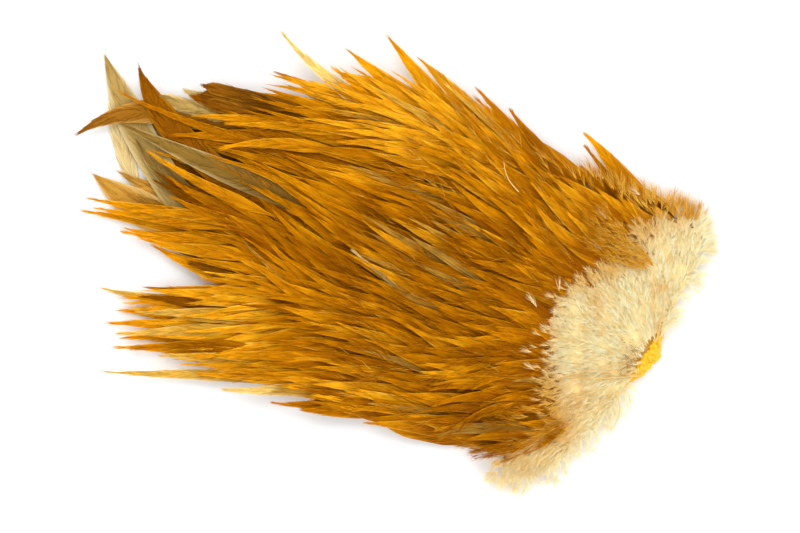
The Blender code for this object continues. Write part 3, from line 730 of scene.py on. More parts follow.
beige_web = hackle_web("beige hackle web", 0.14, 0.2)
for number, (name, tip, heading, root_mm, row, width, closing, colour) in enumerate(SINGLE_FEATHERS):
    root = (at_depth(LAST_ROOT - row * ROW_STEP, root_mm * MM), root_mm * MM)
    stacked_row = row + CROSSED.get(name, 0.0)
    one = listed(np.array([tip]) * MM, np.array([root]), [heading], [180], [stacked_row], [width],
                 [closing - EARLIER_CLOSING], [colour])
    kind = name.split("_")[0]
    slot = "pale_gold_vane" if colour in PALES else "gold_vane"
    if kind in ("grey", "brown", "tan"):
        slot = kind + "_vane"
    if colour in GOLDS:
        one["width"] *= GOLD_WIDTH_SHARE
    web, thickness = golden_web, BARB_THICKNESS
    if kind in ("grey", "tan"):
        web, thickness = beige_web, BEIGE_BARB_THICKNESS
    mesh = feather_mesh(name + "_web", one, SINGLE_BARBS, thickness, SINGLE_FRINGE, SINGLE_SEED + number)
    finish_piece(mesh, web, slot, name)

# The small feathers between them
# Slim feathers that fill the two lobes and the upper edge. They lie among the ones above, and cross them.
# They have the same keratin webs, and are too many to have solids of their own.

# tip in mm, root in mm, headings of tip and root, row, width in mm, closing, colour
LOOSE_FEATHERS = (
    ((-105.8, 25.5), (-84, -9), 110, 128, -0.6, 6, 0.6, "cream"),
    ((-93, 13), (-56, -4), 140, 160, -0.4, 9, 0.7, "taupe"),
    ((-84, 6), (-46, -2), 150, 176, -0.3, 9.5, 0.7, "taupe"),
    ((-82, 19), (-44, 20), 180, 184, 0.2, 10, 0.7, "chestnut"),
    ((-76, 12), (-40, 12), 176, 180, 0.4, 10, 0.7, "umber"),
    ((-74, 27), (-40, 27), 180, 184, 0.6, 10, 0.7, "umber"),
    ((-84, -4), (-46, -6), 170, 180, -0.2, 10, 0.7, "fawn"),
    ((-90.7, 9.6), (-58, -8), 132, 150, 3.4, 7, 0.45, "taupe"),
    ((-90, 26.2), (-58, 27), 178, 182, 3.7, 5.4, 0.8, "sand"),
    ((-95, 19), (-50, 10), 150, 175, -0.2, 9.5, 0.7, "taupe"),
    ((-74, 3), (-36, 2), 172, 178, 0.8, 10, 0.7, "chestnut"),
    ((-80, 8), (-40, 6), 172, 178, 0.7, 10, 0.7, "umber"),
    ((-80.5, 31.4), (-52, 28), 172, 184, 3.2, 4.6, 0.8, "beige"),
    ((-74.6, 34.9), (-36, 37), 183, 180, 5, 4.4, 0.9, "umber"),
    ((-72.8, 29.4), (-36, 32), 184, 182, 4.8, 4.6, 0.9, "umber"),
    ((-77.4, 30.2), (-48, 30), 182, 182, 3.6, 4.6, 0.85, "chestnut"),
    ((-74, 23.9), (-30, 34), 196, 194, 5.4, 4.6, 0.35, "bright"),
    ((-79.1, 15.2), (-30, 28), 198, 192, 5, 6.4, 0.35, "gold"),
    ((-62.1, 24.8), (-16, 36), 196, 190, 6.2, 4.4, 0.3, "bright"),
    ((-61.3, 15.9), (-22, 28), 214, 192, 6.8, 4.6, 0.35, "bright"),
    ((-85.4, 6.9), (-36, -1), 164, 176, 5.8, 4.4, 0.3, "bright"),
    ((-80, -2), (-36, -6), 170, 178, 4.4, 5.6, 0.35, "chestnut"),
    ((-76, 0.6), (-34, -4), 160, 178, 5, 5, 0.35, "gold"),
    ((-72.5, -5.4), (-32, -8), 168, 178, 5.4, 5.2, 0.35, "gold"),
    ((-88, -9), (-58, -12), 174, 182, 1, 6, 0.55, "tan"),
    ((-96.7, -17.4), (-50, -10), 186, 186, 4.4, 4.6, 0.35, "bright"),
    ((-100.6, -14.9), (-52, -8), 184, 186, 4.8, 4.6, 0.35, "bright"),
    ((-84.4, -14.4), (-42, -6), 196, 186, 5.4, 4.6, 0.35, "bright"),
    ((-85.6, -22.4), (-46, -14), 184, 184, 3.6, 4.8, 0.35, "bright"),
    ((-79, -22.4), (-34, -16), 176, 184, 4.6, 5, 0.4, "bright"),
    ((-80, 1), (-38, -4), 158, 176, 3.4, 6.5, 0.5, "chestnut"),
    ((-72, 0), (-34, -2), 166, 178, 3.6, 7, 0.5, "chestnut"),
    ((-78.8, -43.9), (-36, -36), 190, 190, 3, 4.2, 0.35, "bright"),
    ((-72.6, -42), (-30, -36), 194, 188, 3.4, 5.6, 0.4, "chestnut"),
    ((-72, -47.6), (-30, -36), 196, 190, 4.2, 4.4, 0.35, "pale"),
    ((-76.2, -57), (-34, -42), 200, 194, 4.6, 4.4, 0.35, "pale"),
    ((-70.4, -60.4), (-26, -46), 202, 192, 5, 4.4, 0.35, "gold"),
    ((-59.6, -59.6), (-24, -50), 196, 192, 4.2, 4.6, 0.35, "pale"),
    ((-48, -56.8), (0, -42), 206, 192, 7.4, 4, 0.3, "bright"),
    ((-45, -61.5), (-8, -50), 190, 190, 5, 4.6, 0.35, "bright"),
    ((-17, -63), (16, -54), 190, 188, 7.5, 4.4, 0.35, "gold"),
    ((-33.2, 54.8), (6, 44), 158, 165, 7.4, 5, 0.4, "bright"),
    ((30.2, 60), (52, 46), 140, 150, 14, 4, 0.4, "gold"),
    ((59.1, 56.1), (80, 43), 144, 152, 15.5, 2.8, 0.3, "gold"),
    ((60, 48.6), (84, 37), 150, 152, 12.6, 7, 0.55, "gold"),
    ((68, 48.6), (92, 39), 150, 152, 12.6, 7, 0.55, "gold"),
    ((80, 49.6), (99, 38), 140, 146, 12.6, 7, 0.55, "chestnut"),
    ((59, -43.5), (82, -35), 200, 198, 13.2, 8, 0.5, "gold"),
    ((47, -55.5), (70, -48), 198, 196, 12.4, 8, 0.5, "gold"),
    ((-69, -22.5), (-30, -16), 176, 184, 2.6, 6, 0.5, "umber"),
    ((-60, -25.5), (-24, -22), 176, 184, 3.2, 6.5, 0.5, "umber"),
    ((6, 61.3), (42, 46), 157, 155, 12.6, 3, 0.25, "pale"),
    ((-7, -3.7), (14, -12), 156, 158, 10.1, 1.9, 0.15, "beige"),
    ((-91, 18.5), (-54, 14), 172, 180, 0.3, 10, 0.75, "khaki"),
)
LOOSE_BARBS, LOOSE_SEED = 76, 140

loose_tips, loose_roots, *loose_rest = zip(*LOOSE_FEATHERS)
loose = listed(np.array(loose_tips) * MM, np.array(loose_roots) * MM, *loose_rest)
mesh = feather_mesh("loose_hackles", loose, LOOSE_BARBS, BARB_THICKNESS, SINGLE_FRINGE, LOOSE_SEED)
finish_piece(mesh, golden_web, "gold_vane")

# The golden fluff
# The lower part of each body feather is loose: fine golden brown hairs without hooks. It shows where the
# feathers are short, towards the neck, and stands up along the upper edge.

HAIR_STEPS, HAIR_WAVER, HAIR_TAPER = 2, 9.0, 0.5
STEEPEST_FALL, LOWEST_HAIR = 0.55, 0.25 * MM
# A power that crowds the hairs to the root of a plume. Their length and spread there and what is lost of them
# towards its tip, as shares, and where their arch begins and how far it goes, as shares of half a wave
HAIR_CROWDING, HAIR_LENGTHS, HAIR_SPREADS, HAIR_ARCH = 0.8, (1.15, 0.5), (1.1, 0.6), (0.2, 0.65)
HAIR_TURNS = [math.radians(turn) for turn in (0, 120, 240)]


def hair_mesh(name, spines, radius, tints):
    """Thin closed three-sided hairs along spines, given as (hair, point, xyz)."""
    count, points_each, _ = spines.shape
    forward = np.gradient(spines, axis=1)
    forward /= np.linalg.norm(forward, axis=-1, keepdims=True) + 1e-9
    sideways = np.stack([-forward[..., 1], forward[..., 0], np.zeros(forward.shape[:2])], axis=-1)
    sideways /= np.linalg.norm(sideways, axis=-1, keepdims=True) + 1e-9
    upwards = np.cross(forward, sideways)
    rings = points_each - 1
    taper = np.linspace(1.0, HAIR_TAPER, rings)[None, :, None]
    corners = []
    for turn in HAIR_TURNS:
        out = sideways[:, :rings] * math.cos(turn) + upwards[:, :rings] * math.sin(turn)
        corners.append(spines[:, :rings] + out * radius * taper)
    ringed = np.stack(corners, axis=2).reshape(count, rings * 3, 3)
    points = np.concatenate([ringed, spines[:, -1:]], axis=1)
    faces, places = tapered_faces(3, rings)
    faces = faces + (np.arange(count) * points.shape[1])[:, None, None]
    corner, cell = bake_cells(count)
    bake = places * SHAPE_FILLS * cell + corner[:, None, None]
    full = np.repeat(tints, points.shape[1], axis=0)
    return mesh_from(name, [points], [faces], [bake], [full], [np.zeros(full.shape)])


def plumes(rng, starts, aims, shaft, hair, per_plume, spread, bend, surface, lift):
    """Spines of the hairs of plumes: they leave a short shaft to both sides, bend back and waver.

    starts and aims hold one place and heading a plume. shaft, hair and lift are lengths from and to in mm,
    spread and bend angles from and to in degrees, and surface gives the height they lie on."""
    shaft, hair, lift = np.array((shaft, hair, lift)) * MM
    count = len(starts)
    shape = (count, per_plume)
    shaft_length = rng.uniform(*shaft, count)
    t = rng.random(shape) ** HAIR_CROWDING
    side = np.where(rng.random(shape) < 0.5, -1.0, 1.0)
    length = rng.uniform(*hair, shape) * (HAIR_LENGTHS[0] - HAIR_LENGTHS[1] * t)
    begin = starts[:, None] + headings(aims)[:, None] * (t * shaft_length[:, None])[..., None]
    steps = np.linspace(0.0, 1.0, HAIR_STEPS + 1)
    turn = aims[:, None] + side * rng.uniform(*spread, shape) * (HAIR_SPREADS[0] - HAIR_SPREADS[1] * t)
    curve = -side * rng.uniform(*bend, shape)
    angle = turn[..., None] + curve[..., None] * steps + rng.normal(0.0, HAIR_WAVER, (*shape, HAIR_STEPS + 1))
    step = headings(angle) * (length / HAIR_STEPS)[..., None, None]
    step[..., 0, :] = 0.0
    plan = begin[:, :, None] + np.cumsum(step, axis=2)
    rise = rng.random((*shape, 1)) * np.sin(np.pi * (HAIR_ARCH[0] + HAIR_ARCH[1] * steps))
    height = surface(plan[..., 0], plan[..., 1]) + lift[0] + (lift[1] - lift[0]) * rise
    for k in range(1, HAIR_STEPS + 1):
        height[..., k] = np.maximum(height[..., k], height[..., k - 1] - STEEPEST_FALL * length / HAIR_STEPS)
    spines = np.concatenate([plan, np.maximum(height, LOWEST_HAIR)[..., None]], axis=-1)
    return spines.reshape(-1, HAIR_STEPS + 1, 3)


def cover_height(x, y):
    """Height of the uppermost feathers at a place."""
    root_share = root_depth_of(np.clip(depth(x, y), 0.03, 1.0))
    return stacked_height(x, y, row_at(root_share, y))


# Depths at which the down starts and ends, and what the bare spot, its middle and its lower corner add to
# them, with their places and reaches across. Then its least and its crowned height over what it lies on
DOWN_SIDES = (-65 * MM, 46 * MM)
DOWN_FROM, SPOT_ADDS, SPOT_Y, SPOT_REACH = -0.012, 0.026, -9 * MM, 7 * MM
DOWN_TO, HUMP_ADDS, CORNER_ADDS, CORNER_Y, CORNER_REACH = 0.082, 0.128, 0.015, -57 * MM, 8 * MM
DOWN_LEAST, DOWN_CROWN, DOWN_RIM, DOWN_OVER_FEATHERS = 0.7 * MM, 2.6 * MM, 6 * MM, 1.6 * MM
# The crown's arches along and across, as shares of half a wave, its power, how far down sinks past the cut
# and where it ends in the feathers. Then how high fluff stands over the down, and down over the feathers
CROWN_ALONG, CROWN_ACROSS, CROWN_POWER = (0.10, 0.86), (0.06, 0.88), 0.7
DOWN_SINKING, DOWN_ENDS, OVER_BOTH, SOFT_OVER_FEATHERS = 0.75, (0.50, 0.95), 0.6 * MM, 1.1 * MM


def down_start(y):
    return DOWN_FROM + SPOT_ADDS * bell(y, SPOT_Y, SPOT_REACH)


def down_reach(y):
    return DOWN_TO + HUMP_ADDS * down_hump(y) + CORNER_ADDS * bell(y, CORNER_Y, CORNER_REACH)


def down_share(x, y):
    """How far a place lies from the cut, at 0, towards the border of the down, at 1."""
    start = down_start(y)
    return np.clip((depth(x, y) - start) / (down_reach(y) - start), 0.0, 1.3)


def down_height(x, y):
    """Top of the down: crowned over the hide, sloping into the feathers at its border, and on the table."""
    across = np.clip((y - DOWN_SIDES[0]) / (DOWN_SIDES[1] - DOWN_SIDES[0]), 0.0, 1.0)
    along = np.minimum(down_share(x, y), 1.0)
    rows = np.maximum(depth(x, y) - UNDER_DOWN - UNDER_HUMP * down_hump(y), 0.0) / ROW_STEP
    crown = np.sin(np.pi * (CROWN_ALONG[0] + CROWN_ALONG[1] * along))
    crown = crown * np.sin(np.pi * (CROWN_ACROSS[0] + CROWN_ACROSS[1] * across))
    outside = smooth_step(0.0, DOWN_RIM, (down_start(y) - depth(x, y)) * PATCH_LENGTH)
    full = resting_height(x, y) + layer(x, y) * rows + DOWN_LEAST + DOWN_CROWN * crown ** CROWN_POWER
    full = full * (1 - DOWN_SINKING * outside)
    ending = smooth_step(*DOWN_ENDS, along)
    return full * (1 - ending) + (cover_height(x, y) + DOWN_OVER_FEATHERS) * ending


def over_down(x, y):
    """Height over both the feathers and the down."""
    return np.maximum(cover_height(x, y), down_height(x, y)) + OVER_BOTH


def edge_height(x, y):
    """Height of the fluff along the upper edge, which sinks outside the feathers."""
    return over_down(x, y) * (1 - EDGE_SINKING * smooth_step(*EDGE_FALL, y))


def scattered(rng, area, amount):
    """That many places within the area's corners."""
    found = rng.uniform(area.min(axis=0), area.max(axis=0), (amount * 4, 2))
    return found[inside(area, found[:, 0], found[:, 1])][:amount]


def along_line(rng, line, amount, spread):
    """Places near a line of points, with the headings there."""
    place = rng.random(amount) * (len(line) - 1)
    found = np.stack([np.interp(place, np.arange(len(line)), line[:, k]) for k in range(3)], axis=-1)
    found[:, :2] += rng.normal(0.0, spread, (amount, 2))
    return found[:, :2] * MM, found[:, 2]


# In mm and degrees: corners of where the fluff shows, the upper edge where it stands up, plumes that lie over
# the rim of the down, the lower edge, and the tongue of fluff on the down. Lines are points with headings
FRONT_AREA = np.array([
    (104, 45), (60, 46), (42, 50), (20, 58), (0, 30), (-10, 0), (0, -40), (14, -54), (62, -53), (80, -46),
    (66, -28), (62, -5), (68, 12), (84, 28), (88, 40),
]) * MM
EDGE_LINE = np.array([
    (103, 43.5, 85), (97, 44, 95), (91, 44, 106), (82, 44.5, 116), (72, 45.5, 126), (62, 46.5, 132),
])
OVER_DOWN = np.array([
    (93, 40, 150), (97, 42, 140), (89, 41, 150), (85, 42, 150), (70, -29, 186), (74, -36, 190),
    (70, -40, 186), (78, -43, 200), (80, -38, 195), (63, -20, 184), (62, 2, 172), (64, 8, 168),
    (68, 14, 165), (99, 42, 130), (101, 43, 110), (72, -50, 190), (66, -54, 185),
])
LOW_LINE = np.array([
    (84, -36, 212), (80.5, -41.5, 216), (76, -46, 218), (71, -50, 216), (66, -54, 210), (60, -56, 208),
    (53, -56, 202),
])
TONGUE_AREA = np.array([
    (72, 22), (78, 19.5), (84, 20), (91, 20.5), (97, 22), (95, 25), (89, 27.5), (84.5, 31), (83, 35),
    (76, 37), (70, 30),
]) * MM
EDGE_SINKING, EDGE_FALL = 0.55, (43 * MM, 58 * MM)
FRONT_PLUMES, EDGE_PLUMES, TONGUE_PLUMES, LOW_PLUMES = 270, 92, 80, 84
FRONT_HAIRS, EDGE_HAIRS, OVER_DOWN_HAIRS, TONGUE_HAIRS, LOW_HAIRS = 20, 15, 46, 28, 17
GOLD_HAIR_RADIUS, FLUFF_SEED = 0.075 * MM, 260
# Where the fluff stands up, along both axes, and how much lighter it is there
STANDING_Y, STANDING_X, STANDING_LIGHT = (42 * MM, 50 * MM), (20 * MM, 60 * MM), 0.20

rng = np.random.default_rng(FLUFF_SEED)
front = scattered(rng, FRONT_AREA, FRONT_PLUMES)
front_aims = flow(front[:, 0], front[:, 1]) + rng.normal(0.0, 10.0, len(front))
edge, edge_aims = along_line(rng, EDGE_LINE, EDGE_PLUMES, 1.5)
tongue = scattered(rng, TONGUE_AREA, TONGUE_PLUMES)
low, low_aims = along_line(rng, LOW_LINE, LOW_PLUMES, 1.5)
spines = np.concatenate([
    plumes(rng, front, front_aims, (5, 9), (4, 8), FRONT_HAIRS, (4, 22), (0, 14), cover_height, (-0.1, 1)),
    plumes(rng, edge, edge_aims + rng.normal(0.0, 10.0, EDGE_PLUMES), (1, 3), (3, 8), EDGE_HAIRS,
           (2, 26), (-10, 20), edge_height, (-0.9, 1.2)),
    plumes(rng, OVER_DOWN[:, :2] * MM, OVER_DOWN[:, 2], (4, 8), (3, 6), OVER_DOWN_HAIRS,
           (3, 26), (0, 14), over_down, (0.2, 1.3)),
    plumes(rng, tongue, 162 + rng.normal(0.0, 12.0, len(tongue)), (2, 6), (3, 6), TONGUE_HAIRS,
           (3, 40), (-10, 40), over_down, (0.6, 1.9)),
    plumes(rng, low, low_aims + rng.normal(0.0, 9.0, LOW_PLUMES), (2, 5), (3, 6), LOW_HAIRS,
           (3, 26), (-5, 16), over_down, (0, 1.2)),
])
standing = smooth_step(*STANDING_Y, spines[:, -1, 1]) * smooth_step(*STANDING_X, spines[:, -1, 0])
light = MIDDLE_LIGHT + sum_of_places(spines[:, 0, 0], spines[:, 0, 1], LIGHT_PLACES)
light += STANDING_LIGHT * standing
light += rng.normal(0.0, 0.20, len(spines))
fluff_tints = mixed([DEEP_SHADE, WARM_SHADE, DULL_GLOW, GOLD_GLOW, PALE_RIM], light)
fluff_mesh = hair_mesh("golden_fluff", spines, GOLD_HAIR_RADIUS, fluff_tints)
finish_piece(fluff_mesh, hackle_web("golden brown fluff", 0.15, 0.3), "gold_vane")

# The down at the neck
# Short cream plumes at the neck cut, too soft to hold a web. They lie over each other in one mat, fan out
# from the bare fatty spot of the cut, and their hairs stand out as a haze round its rim.

DOWN_CELLS = (90, 30)
MAT_ACROSS, MAT_ALONG = (0.05, 0.95), (0.13, 0.955)
MAT_DEPTH, MAT_SINKING, MAT_BELLY, MAT_THICKNESS = 0.9 * MM, 2.4, -2.0 * MM, 0.5 * MM
MAT_LOWEST, MAT_UNDERSIDE, MAT_SINKS_FROM = 2.0 * MM, 1.5 * MM, 0.90
# Height, size and seed of the ragged border of the mat and of its face
BORDER_RIPPLE, MAT_RIPPLE = (0.035, 0.012, 1.0), (0.6 * MM, 1.3 * MM, 4.0)
SPOT = (106 * MM, -8 * MM)
CREAM, WARM_CREAM, LIGHT_CREAM = linear("#FEF1BA"), linear("#F2D088"), linear("#FFFEE2")
TAN_DOWN = linear("#EEBC50")
# How tan the down's border is and from where to where, and how tan and brown the mat is
BORDER_TAN, TAN_FROM, MAT_TAN, MAT_BROWN, BROWN_FROM = 0.42, (0.80, 1.10), 0.15, 0.85, (0.83, 0.94)

# Places where the down is tan, as x, y, reach in mm and amount
TAN_PLACES = (
    (70, -30, 6, 0.5), (68, -8, 4, 0.3), (73, 12, 5, 0.3), (80, 19, 5, 0.4), (80, -42, 7, 0.8),
    (70, -57, 13, 0.45), (86, 38, 6, 0.4), (98, 44, 6, 0.5), (97, -12, 4, 0.3), (79, 6, 4, 0.45),
    (82, -2, 4, 0.2), (99.5, 18, 3.5, 0.4), (103, 6.5, 3.5, 0.4), (80.5, -21, 4, 0.3), (90.5, -18, 4, 0.25),
    (83, -29.5, 6, 0.35), (92, -28.5, 4, 0.2), (75, -37, 5, 0.4),
)


def down_place(across, along):
    y = DOWN_SIDES[0] + (DOWN_SIDES[1] - DOWN_SIDES[0]) * across
    start = down_start(y)
    return at_depth(start + (down_reach(y) - start) * along, y), y


def cream_down():
    """Downy barbs without hooks: dull and soft, in clumps that are a little paler and darker."""
    made, tree = new_material("cream down")
    tint = add_node(tree, "ShaderNodeAttribute", attribute_name="Tint").outputs["Color"]
    place = add_node(tree, "ShaderNodeTexCoord").outputs["Object"]
    clumps = add_node(tree, "ShaderNodeTexNoise", {"Vector": place, "Scale": 1 / (2.5 * MM), "Detail": 5.0})
    clumps = clumps.outputs["Fac"]
    values = {"Roughness": 0.8, "Specular IOR Level": 0.15}
    set_surface(tree, uneven(tree, tint, clumps, 0.08), clumps, 0.4, 0.5, values)
    return made


def tan_share(x, y):
    return sum_of_places(x, y, TAN_PLACES) + BORDER_TAN * smooth_step(*TAN_FROM, down_share(x, y))


mat_bm = bmesh.new()
for top in (False, True):
    made = bmesh.ops.create_grid(mat_bm, x_segments=DOWN_CELLS[0], y_segments=DOWN_CELLS[1], size=0.5)
    for vert in made["verts"]:
        across, along = vert.co.x + 0.5, vert.co.y + 0.5
        share = MAT_ACROSS[0] + (MAT_ACROSS[1] - MAT_ACROSS[0]) * across
        end = MAT_ALONG[1] + ripple(share, 0.0, *BORDER_RIPPLE)
        x, y = down_place(share, MAT_ALONG[0] + (end - MAT_ALONG[0]) * along)
        ending = float(smooth_step(MAT_SINKS_FROM, 1.0, down_share(x, y)))
        height = float(down_height(x, y)) - MAT_DEPTH * (1 + MAT_SINKING * ending)
        rise = ripple(x, y, *MAT_RIPPLE) if top else MAT_BELLY * math.sin(math.pi * across) - MAT_THICKNESS
        vert.co = (x, y, max(height + rise, MAT_LOWEST if top else MAT_UNDERSIDE))
bmesh.ops.bridge_loops(mat_bm, edges=[edge for edge in mat_bm.edges if edge.is_boundary])
bmesh.ops.recalc_face_normals(mat_bm, faces=mat_bm.faces)
mat_mesh = mesh_of("down_mat", mat_bm)
mat_x, mat_y = np.array([vert.co[:2] for vert in mat_mesh.vertices]).T
mat_tan = np.clip(tan_share(mat_x, mat_y) + MAT_TAN, 0.0, 1.0)
mat_brown = MAT_BROWN * smooth_step(*BROWN_FROM, down_share(mat_x, mat_y))[:, None]
set_tints(mat_mesh, mixed([CREAM, TAN_DOWN], mat_tan) * (1 - mat_brown) + DULL_GLOW * mat_brown)
down_material = cream_down()
finish_piece(mat_mesh, down_material, "cream_down", "neck_down")

# Corners in mm of where the plumes stand, the rim where they hang over the cut and the line where they thin
# out over the brown feathers, both as points and headings, and small tufts apart: x, y, heading
PLUME_AREA = np.array([
    (103, 42), (108, 38), (109, 27), (107, 18), (106, 8), (105, 0), (102.5, -7), (101.5, -14),
    (100.5, -19), (98, -28), (89, -44), (84, -53), (77, -59), (68, -61), (64, -58), (70, -52), (79, -46),
    (83, -39), (76, -33), (73, -25), (72, -14), (70, -5), (71, 3), (72.5, 9.5), (77.5, 15.8), (83.5, 18.8),
    (90, 18.8), (98, 20), (95, 24.5), (89, 27), (85.5, 30), (86.5, 34), (92, 38),
]) * MM
RIM_LINE = np.array([
    (104, 41.5, 75), (106, 40, 60), (108.5, 37, 40), (109, 31, 15), (108, 22, 0), (105.5, 11, 25),
    (103, 3, 60), (99.5, -20, -60), (96.5, -29, -70), (90.5, -40, -70), (84, -52, -80), (78, -59.5, -100),
    (70, -62.5, -112), (64, -61.5, -140),
])
BORDER_LINE = np.array([
    (86, -46, 195), (82, -41, 195), (78, -35, 190), (72.5, -27, 186), (70.5, -18, 184), (68.5, -8, 180),
    (69.5, 3, 168), (74.5, 9, 155), (81.5, 15.5, 150), (87, 18, 150), (88, 27, 165), (86, 32, 165),
    (92, 38, 150),
])
TUFTS = np.array([
    (66.1, 5.0, 107), (59.4, -1.6, 151), (63.7, -18.2, 180), (66.7, -23.9, 164), (82.7, 45.7, 162),
    (74.4, 33.8, 152), (76.0, 23.3, 152), (60.5, -3.0, 140),
])
PLUME_GROUPS, PLUMES, RIM_PLUMES, BORDER_PLUMES = 3, 440, 160, 150
PLUME_HAIRS, RIM_HAIRS, BORDER_HAIRS, TUFT_HAIRS = 22, 20, 18, 18
BARE_HALF, DOWN_HAIR_RADIUS, DOWN_SEED = 8.5 * MM, 0.080 * MM, 300


def away_from_spot(starts):
    """Headings away from the bare spot."""
    return np.degrees(np.arctan2(starts[:, 1] - SPOT[1], starts[:, 0] - SPOT[0])) % 360


def soft_height(x, y):
    """Height of the down, or of the feathers where they stand over it."""
    return np.maximum(cover_height(x, y) + SOFT_OVER_FEATHERS, down_height(x, y))


for group in range(PLUME_GROUPS):
    rng = np.random.default_rng(DOWN_SEED + group)
    starts = scattered(rng, PLUME_AREA, PLUMES)
    aims = away_from_spot(starts) + rng.normal(0.0, 18.0, len(starts))
    spines = plumes(rng, starts, aims, (1.5, 5), (1.8, 4.2), PLUME_HAIRS, (8, 60), (5, 70),
                    soft_height, (-0.4, 0.9))
    tone = 0.60 + np.repeat(rng.normal(0, 0.22, len(starts)), PLUME_HAIRS) + rng.normal(0, 0.24, len(spines))
    if group == 0:
        added = plumes(rng, TUFTS[:, :2] * MM, TUFTS[:, 2], (1.5, 3), (2.5, 5.5), TUFT_HAIRS,
                       (2, 22), (-8, 14), over_down, (0, 1))
        added_tone = 0.75 + rng.normal(0, 0.18, len(added))
    if group == 1:
        starts, aims = along_line(rng, RIM_LINE, RIM_PLUMES, 1.3)
        aims += rng.normal(0.0, 22.0, RIM_PLUMES)
        beside = np.abs(starts[:, 1] - FAT_MIDDLE) >= BARE_HALF
        added = plumes(rng, starts[beside], aims[beside], (1.5, 5), (2.5, 6), RIM_HAIRS, (4, 40), (-10, 40),
                       down_height, (-0.5, 1))
        added_tone = 0.65 + rng.normal(0, 0.2, len(added))
    if group == 2:
        starts, aims = along_line(rng, BORDER_LINE, BORDER_PLUMES, 1.8)
        aims += rng.normal(0.0, 16.0, BORDER_PLUMES)
        added = plumes(rng, starts, aims, (1, 3.5), (2, 4), BORDER_HAIRS, (4, 45), (-5, 45),
                       soft_height, (-0.2, 0.9))
        added_tone = 0.35 + rng.normal(0, 0.22, len(added))
    spines = np.concatenate([spines, added])
    tone = np.concatenate([tone, added_tone])
    tanned = tan_share(spines[:, -1, 0], spines[:, -1, 1]) + rng.normal(0.0, 0.12, len(spines))
    tanned = np.clip(tanned, 0.0, 1.0)[:, None]
    tints = mixed([WARM_CREAM, CREAM, LIGHT_CREAM], tone) * (1 - tanned) + TAN_DOWN * tanned
    mesh = hair_mesh(f"down_plumes_{group + 1}", spines, DOWN_HAIR_RADIUS, tints)
    finish_piece(mesh, down_material, "cream_down")

# The bare spot
# Fat that has dried to yellow crumbs along the middle of the neck cut, dark stubs of new feathers beside it,
# and a few bare quills that run out from it over the down.

BARE_SPOT_SEED = 410
CRUMBS, CRUMB_SIZES, CRUMB_STRETCH = 300, (0.40 * MM, 1.00 * MM), (0.7, 1.3)
CRUMBS_ALONG, CRUMBS_DEEP, CRUMBS_LEAST, CRUMBS_REACH = 5.5 * MM, 4.0 * MM, 0.6 * MM, 7 * MM
CRUMBS_PAST_CUT, CRUMB_LIFTS, LOWEST_CRUMB = 0.3 * MM, (0.3, 0.9), 0.1 * MM
STUBS, STUB_RADIUS = 60, 0.13 * MM
STUB_MIDDLE, STUB_SPREAD = (97.0 * MM, -10.0 * MM), 2.6 * MM
# from and to in mm, bow to the side in mm
QUILLS = (
    ((103, -14), (71, -24.5), 1.0), ((106, -2), (95.5, 23), 2.0), ((104, -1), (99, 22), -1.0),
    ((101, -15), (80, -20), -0.8), ((96, -22.5), (98.2, -36.5), 2.4), ((41.8, 33.5), (33.3, 42.6), 1.4),
)
QUILL_RADIUS, QUILL_POINTS, QUILL_LIFT = 0.28 * MM, 9, 1.1 * MM


def yellow_fat():
    """Poultry fat dried in air: strong yellow, waxy, and darker in patches."""
    made, tree = new_material("dried yellow fat")
    place = add_node(tree, "ShaderNodeTexCoord").outputs["Object"]
    patches = add_node(tree, "ShaderNodeTexNoise", {"Vector": place, "Scale": 1 / (1.5 * MM), "Detail": 4.0})
    patches = patches.outputs["Fac"]
    mixing = {0: patches, 6: opaque("#E29A00"), 7: opaque("#FFDD1E")}
    shown = add_node(tree, "ShaderNodeMix", mixing, data_type="RGBA").outputs[2]
    set_surface(tree, shown, patches, 0.5, 0.3, {"Roughness": 0.4})
    return made


rng = np.random.default_rng(BARE_SPOT_SEED)
crumb_bm = bmesh.new()
for _ in range(CRUMBS):
    y = FAT_MIDDLE + CRUMBS_ALONG * float(np.clip(rng.normal(), -2.0, 2.0))
    width = CRUMBS_DEEP * bell(y, FAT_MIDDLE, CRUMBS_REACH) + CRUMBS_LEAST
    x = cut_x(y) + CRUMBS_PAST_CUT - width * float(rng.random()) ** 1.3
    made = bmesh.ops.create_icosphere(crumb_bm, subdivisions=2, radius=float(rng.uniform(*CRUMB_SIZES)))
    stretch = rng.uniform(*CRUMB_STRETCH, 3) * (1.0, 1.0, 0.6)
    height = HIDE_THICKNESS + (CRUMB_LIFTS[0] + CRUMB_LIFTS[1] * float(rng.random())) * MM
    for vert in made["verts"]:
        vert.co.x = vert.co.x * stretch[0] + x
        vert.co.y = vert.co.y * stretch[1] + y
        vert.co.z = max(vert.co.z * stretch[2] + height, LOWEST_CRUMB)
finish_piece(mesh_of("fat_crumbs", crumb_bm), yellow_fat(), "dried_hide")

stub_starts = np.array(STUB_MIDDLE) + rng.normal(0.0, STUB_SPREAD, (STUBS, 2)) * (0.8, 1.3)
stub_aims = away_from_spot(stub_starts) + rng.normal(0.0, 30.0, STUBS)
spines = plumes(rng, stub_starts, stub_aims, (0.5, 1), (1, 2.2), 1, (0, 30), (0, 10), down_height, (0.8, 2))
stub_tints = mixed([linear("#7A5A24"), linear("#BE9850")], rng.random(STUBS))
finish_piece(hair_mesh("new_feather_stubs", spines, STUB_RADIUS, stub_tints), down_material, "cream_down")

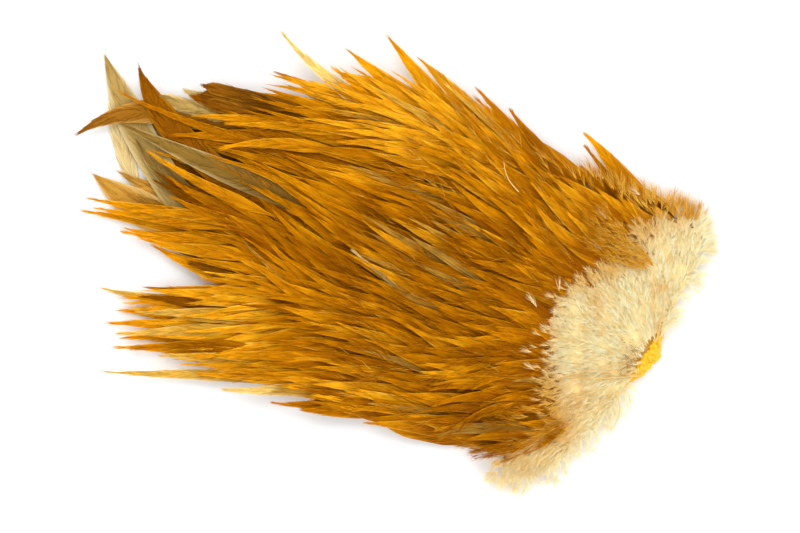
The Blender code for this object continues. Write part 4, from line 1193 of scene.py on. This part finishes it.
quill_spines = []
for (from_x, from_y), (to_x, to_y), bow in QUILLS:
    along = np.linspace(0.0, 1.0, QUILL_POINTS)
    turned = np.array([-(to_y - from_y), to_x - from_x]) / math.hypot(to_x - from_x, to_y - from_y)
    plan = np.stack([from_x + (to_x - from_x) * along, from_y + (to_y - from_y) * along], axis=-1)
    plan = (plan + turned * bow * np.sin(np.pi * along)[:, None]) * MM
    x, y = plan.T
    height = np.maximum(down_height(x, y), cover_height(x, y)) + QUILL_LIFT
    quill_spines.append(np.concatenate([plan, height[:, None]], axis=-1))
quill_tints = np.tile(linear("#EAC27A"), (len(QUILLS), 1))
quill_mesh = hair_mesh("bare_quills", np.array(quill_spines), QUILL_RADIUS, quill_tints)
finish_piece(quill_mesh, down_material, "cream_down")

# The table and the light
# The patch lies on a white sheet under broad soft light, seen from straight above and turned by 18 degrees.
# Two square lamps and a bright white surrounding keep its shadows faint.

PICTURE_TURN = math.radians(18)
PICTURE_MIDDLE, PICTURE_WIDTH = (10.53 * MM, -4.02 * MM), 280 * MM
CAMERA_HEIGHT, PATCH_MIDDLE_HEIGHT, SENSOR = 1.2, 5 * MM, 36.0
SURROUNDING_LIGHT = 0.97
# Place and size in metres, and power in watts
SOFTBOXES = {
    "key_softbox": ((-0.35, 0.55, 0.9), 0.7, 5.0),
    "fill_softbox": ((0.8, -0.5, 0.8), 0.9, 3.0),
}

floor_bm = bmesh.new()
bmesh.ops.create_grid(floor_bm, x_segments=1, y_segments=1, size=3.0)
floor = add_object("white_sheet", mesh_of("white_sheet", floor_bm))
paper, paper_tree = new_material("matt white paper")
paper_tree.nodes["Principled BSDF"].inputs["Base Color"].default_value = opaque("#FAFAFA")
paper_tree.nodes["Principled BSDF"].inputs["Roughness"].default_value = 0.9
floor.data.materials.append(paper)

world = bpy.data.worlds.new("studio")
bpy.context.scene.world = world
world.use_nodes = True
world.node_tree.nodes["Background"].inputs["Color"].default_value = (1.0, 1.0, 1.0, 1.0)
world.node_tree.nodes["Background"].inputs["Strength"].default_value = SURROUNDING_LIGHT

for name, (place, size, power) in SOFTBOXES.items():
    lamp = bpy.data.lights.new(name, "AREA")
    lamp.size = size
    lamp.energy = power
    softbox = add_object(name, lamp)
    softbox.location = place
    softbox.rotation_euler = (-softbox.location).to_track_quat("-Z", "Y").to_euler()

lens = bpy.data.cameras.new("camera")
lens.sensor_width = SENSOR
lens.lens = SENSOR * (CAMERA_HEIGHT - PATCH_MIDDLE_HEIGHT) / PICTURE_WIDTH
camera = add_object("camera", lens)
camera.location = (*PICTURE_MIDDLE, CAMERA_HEIGHT)
camera.rotation_euler = (0.0, 0.0, PICTURE_TURN)
bpy.context.scene.camera = camera
bpy.context.scene.view_settings.view_transform = "Standard"
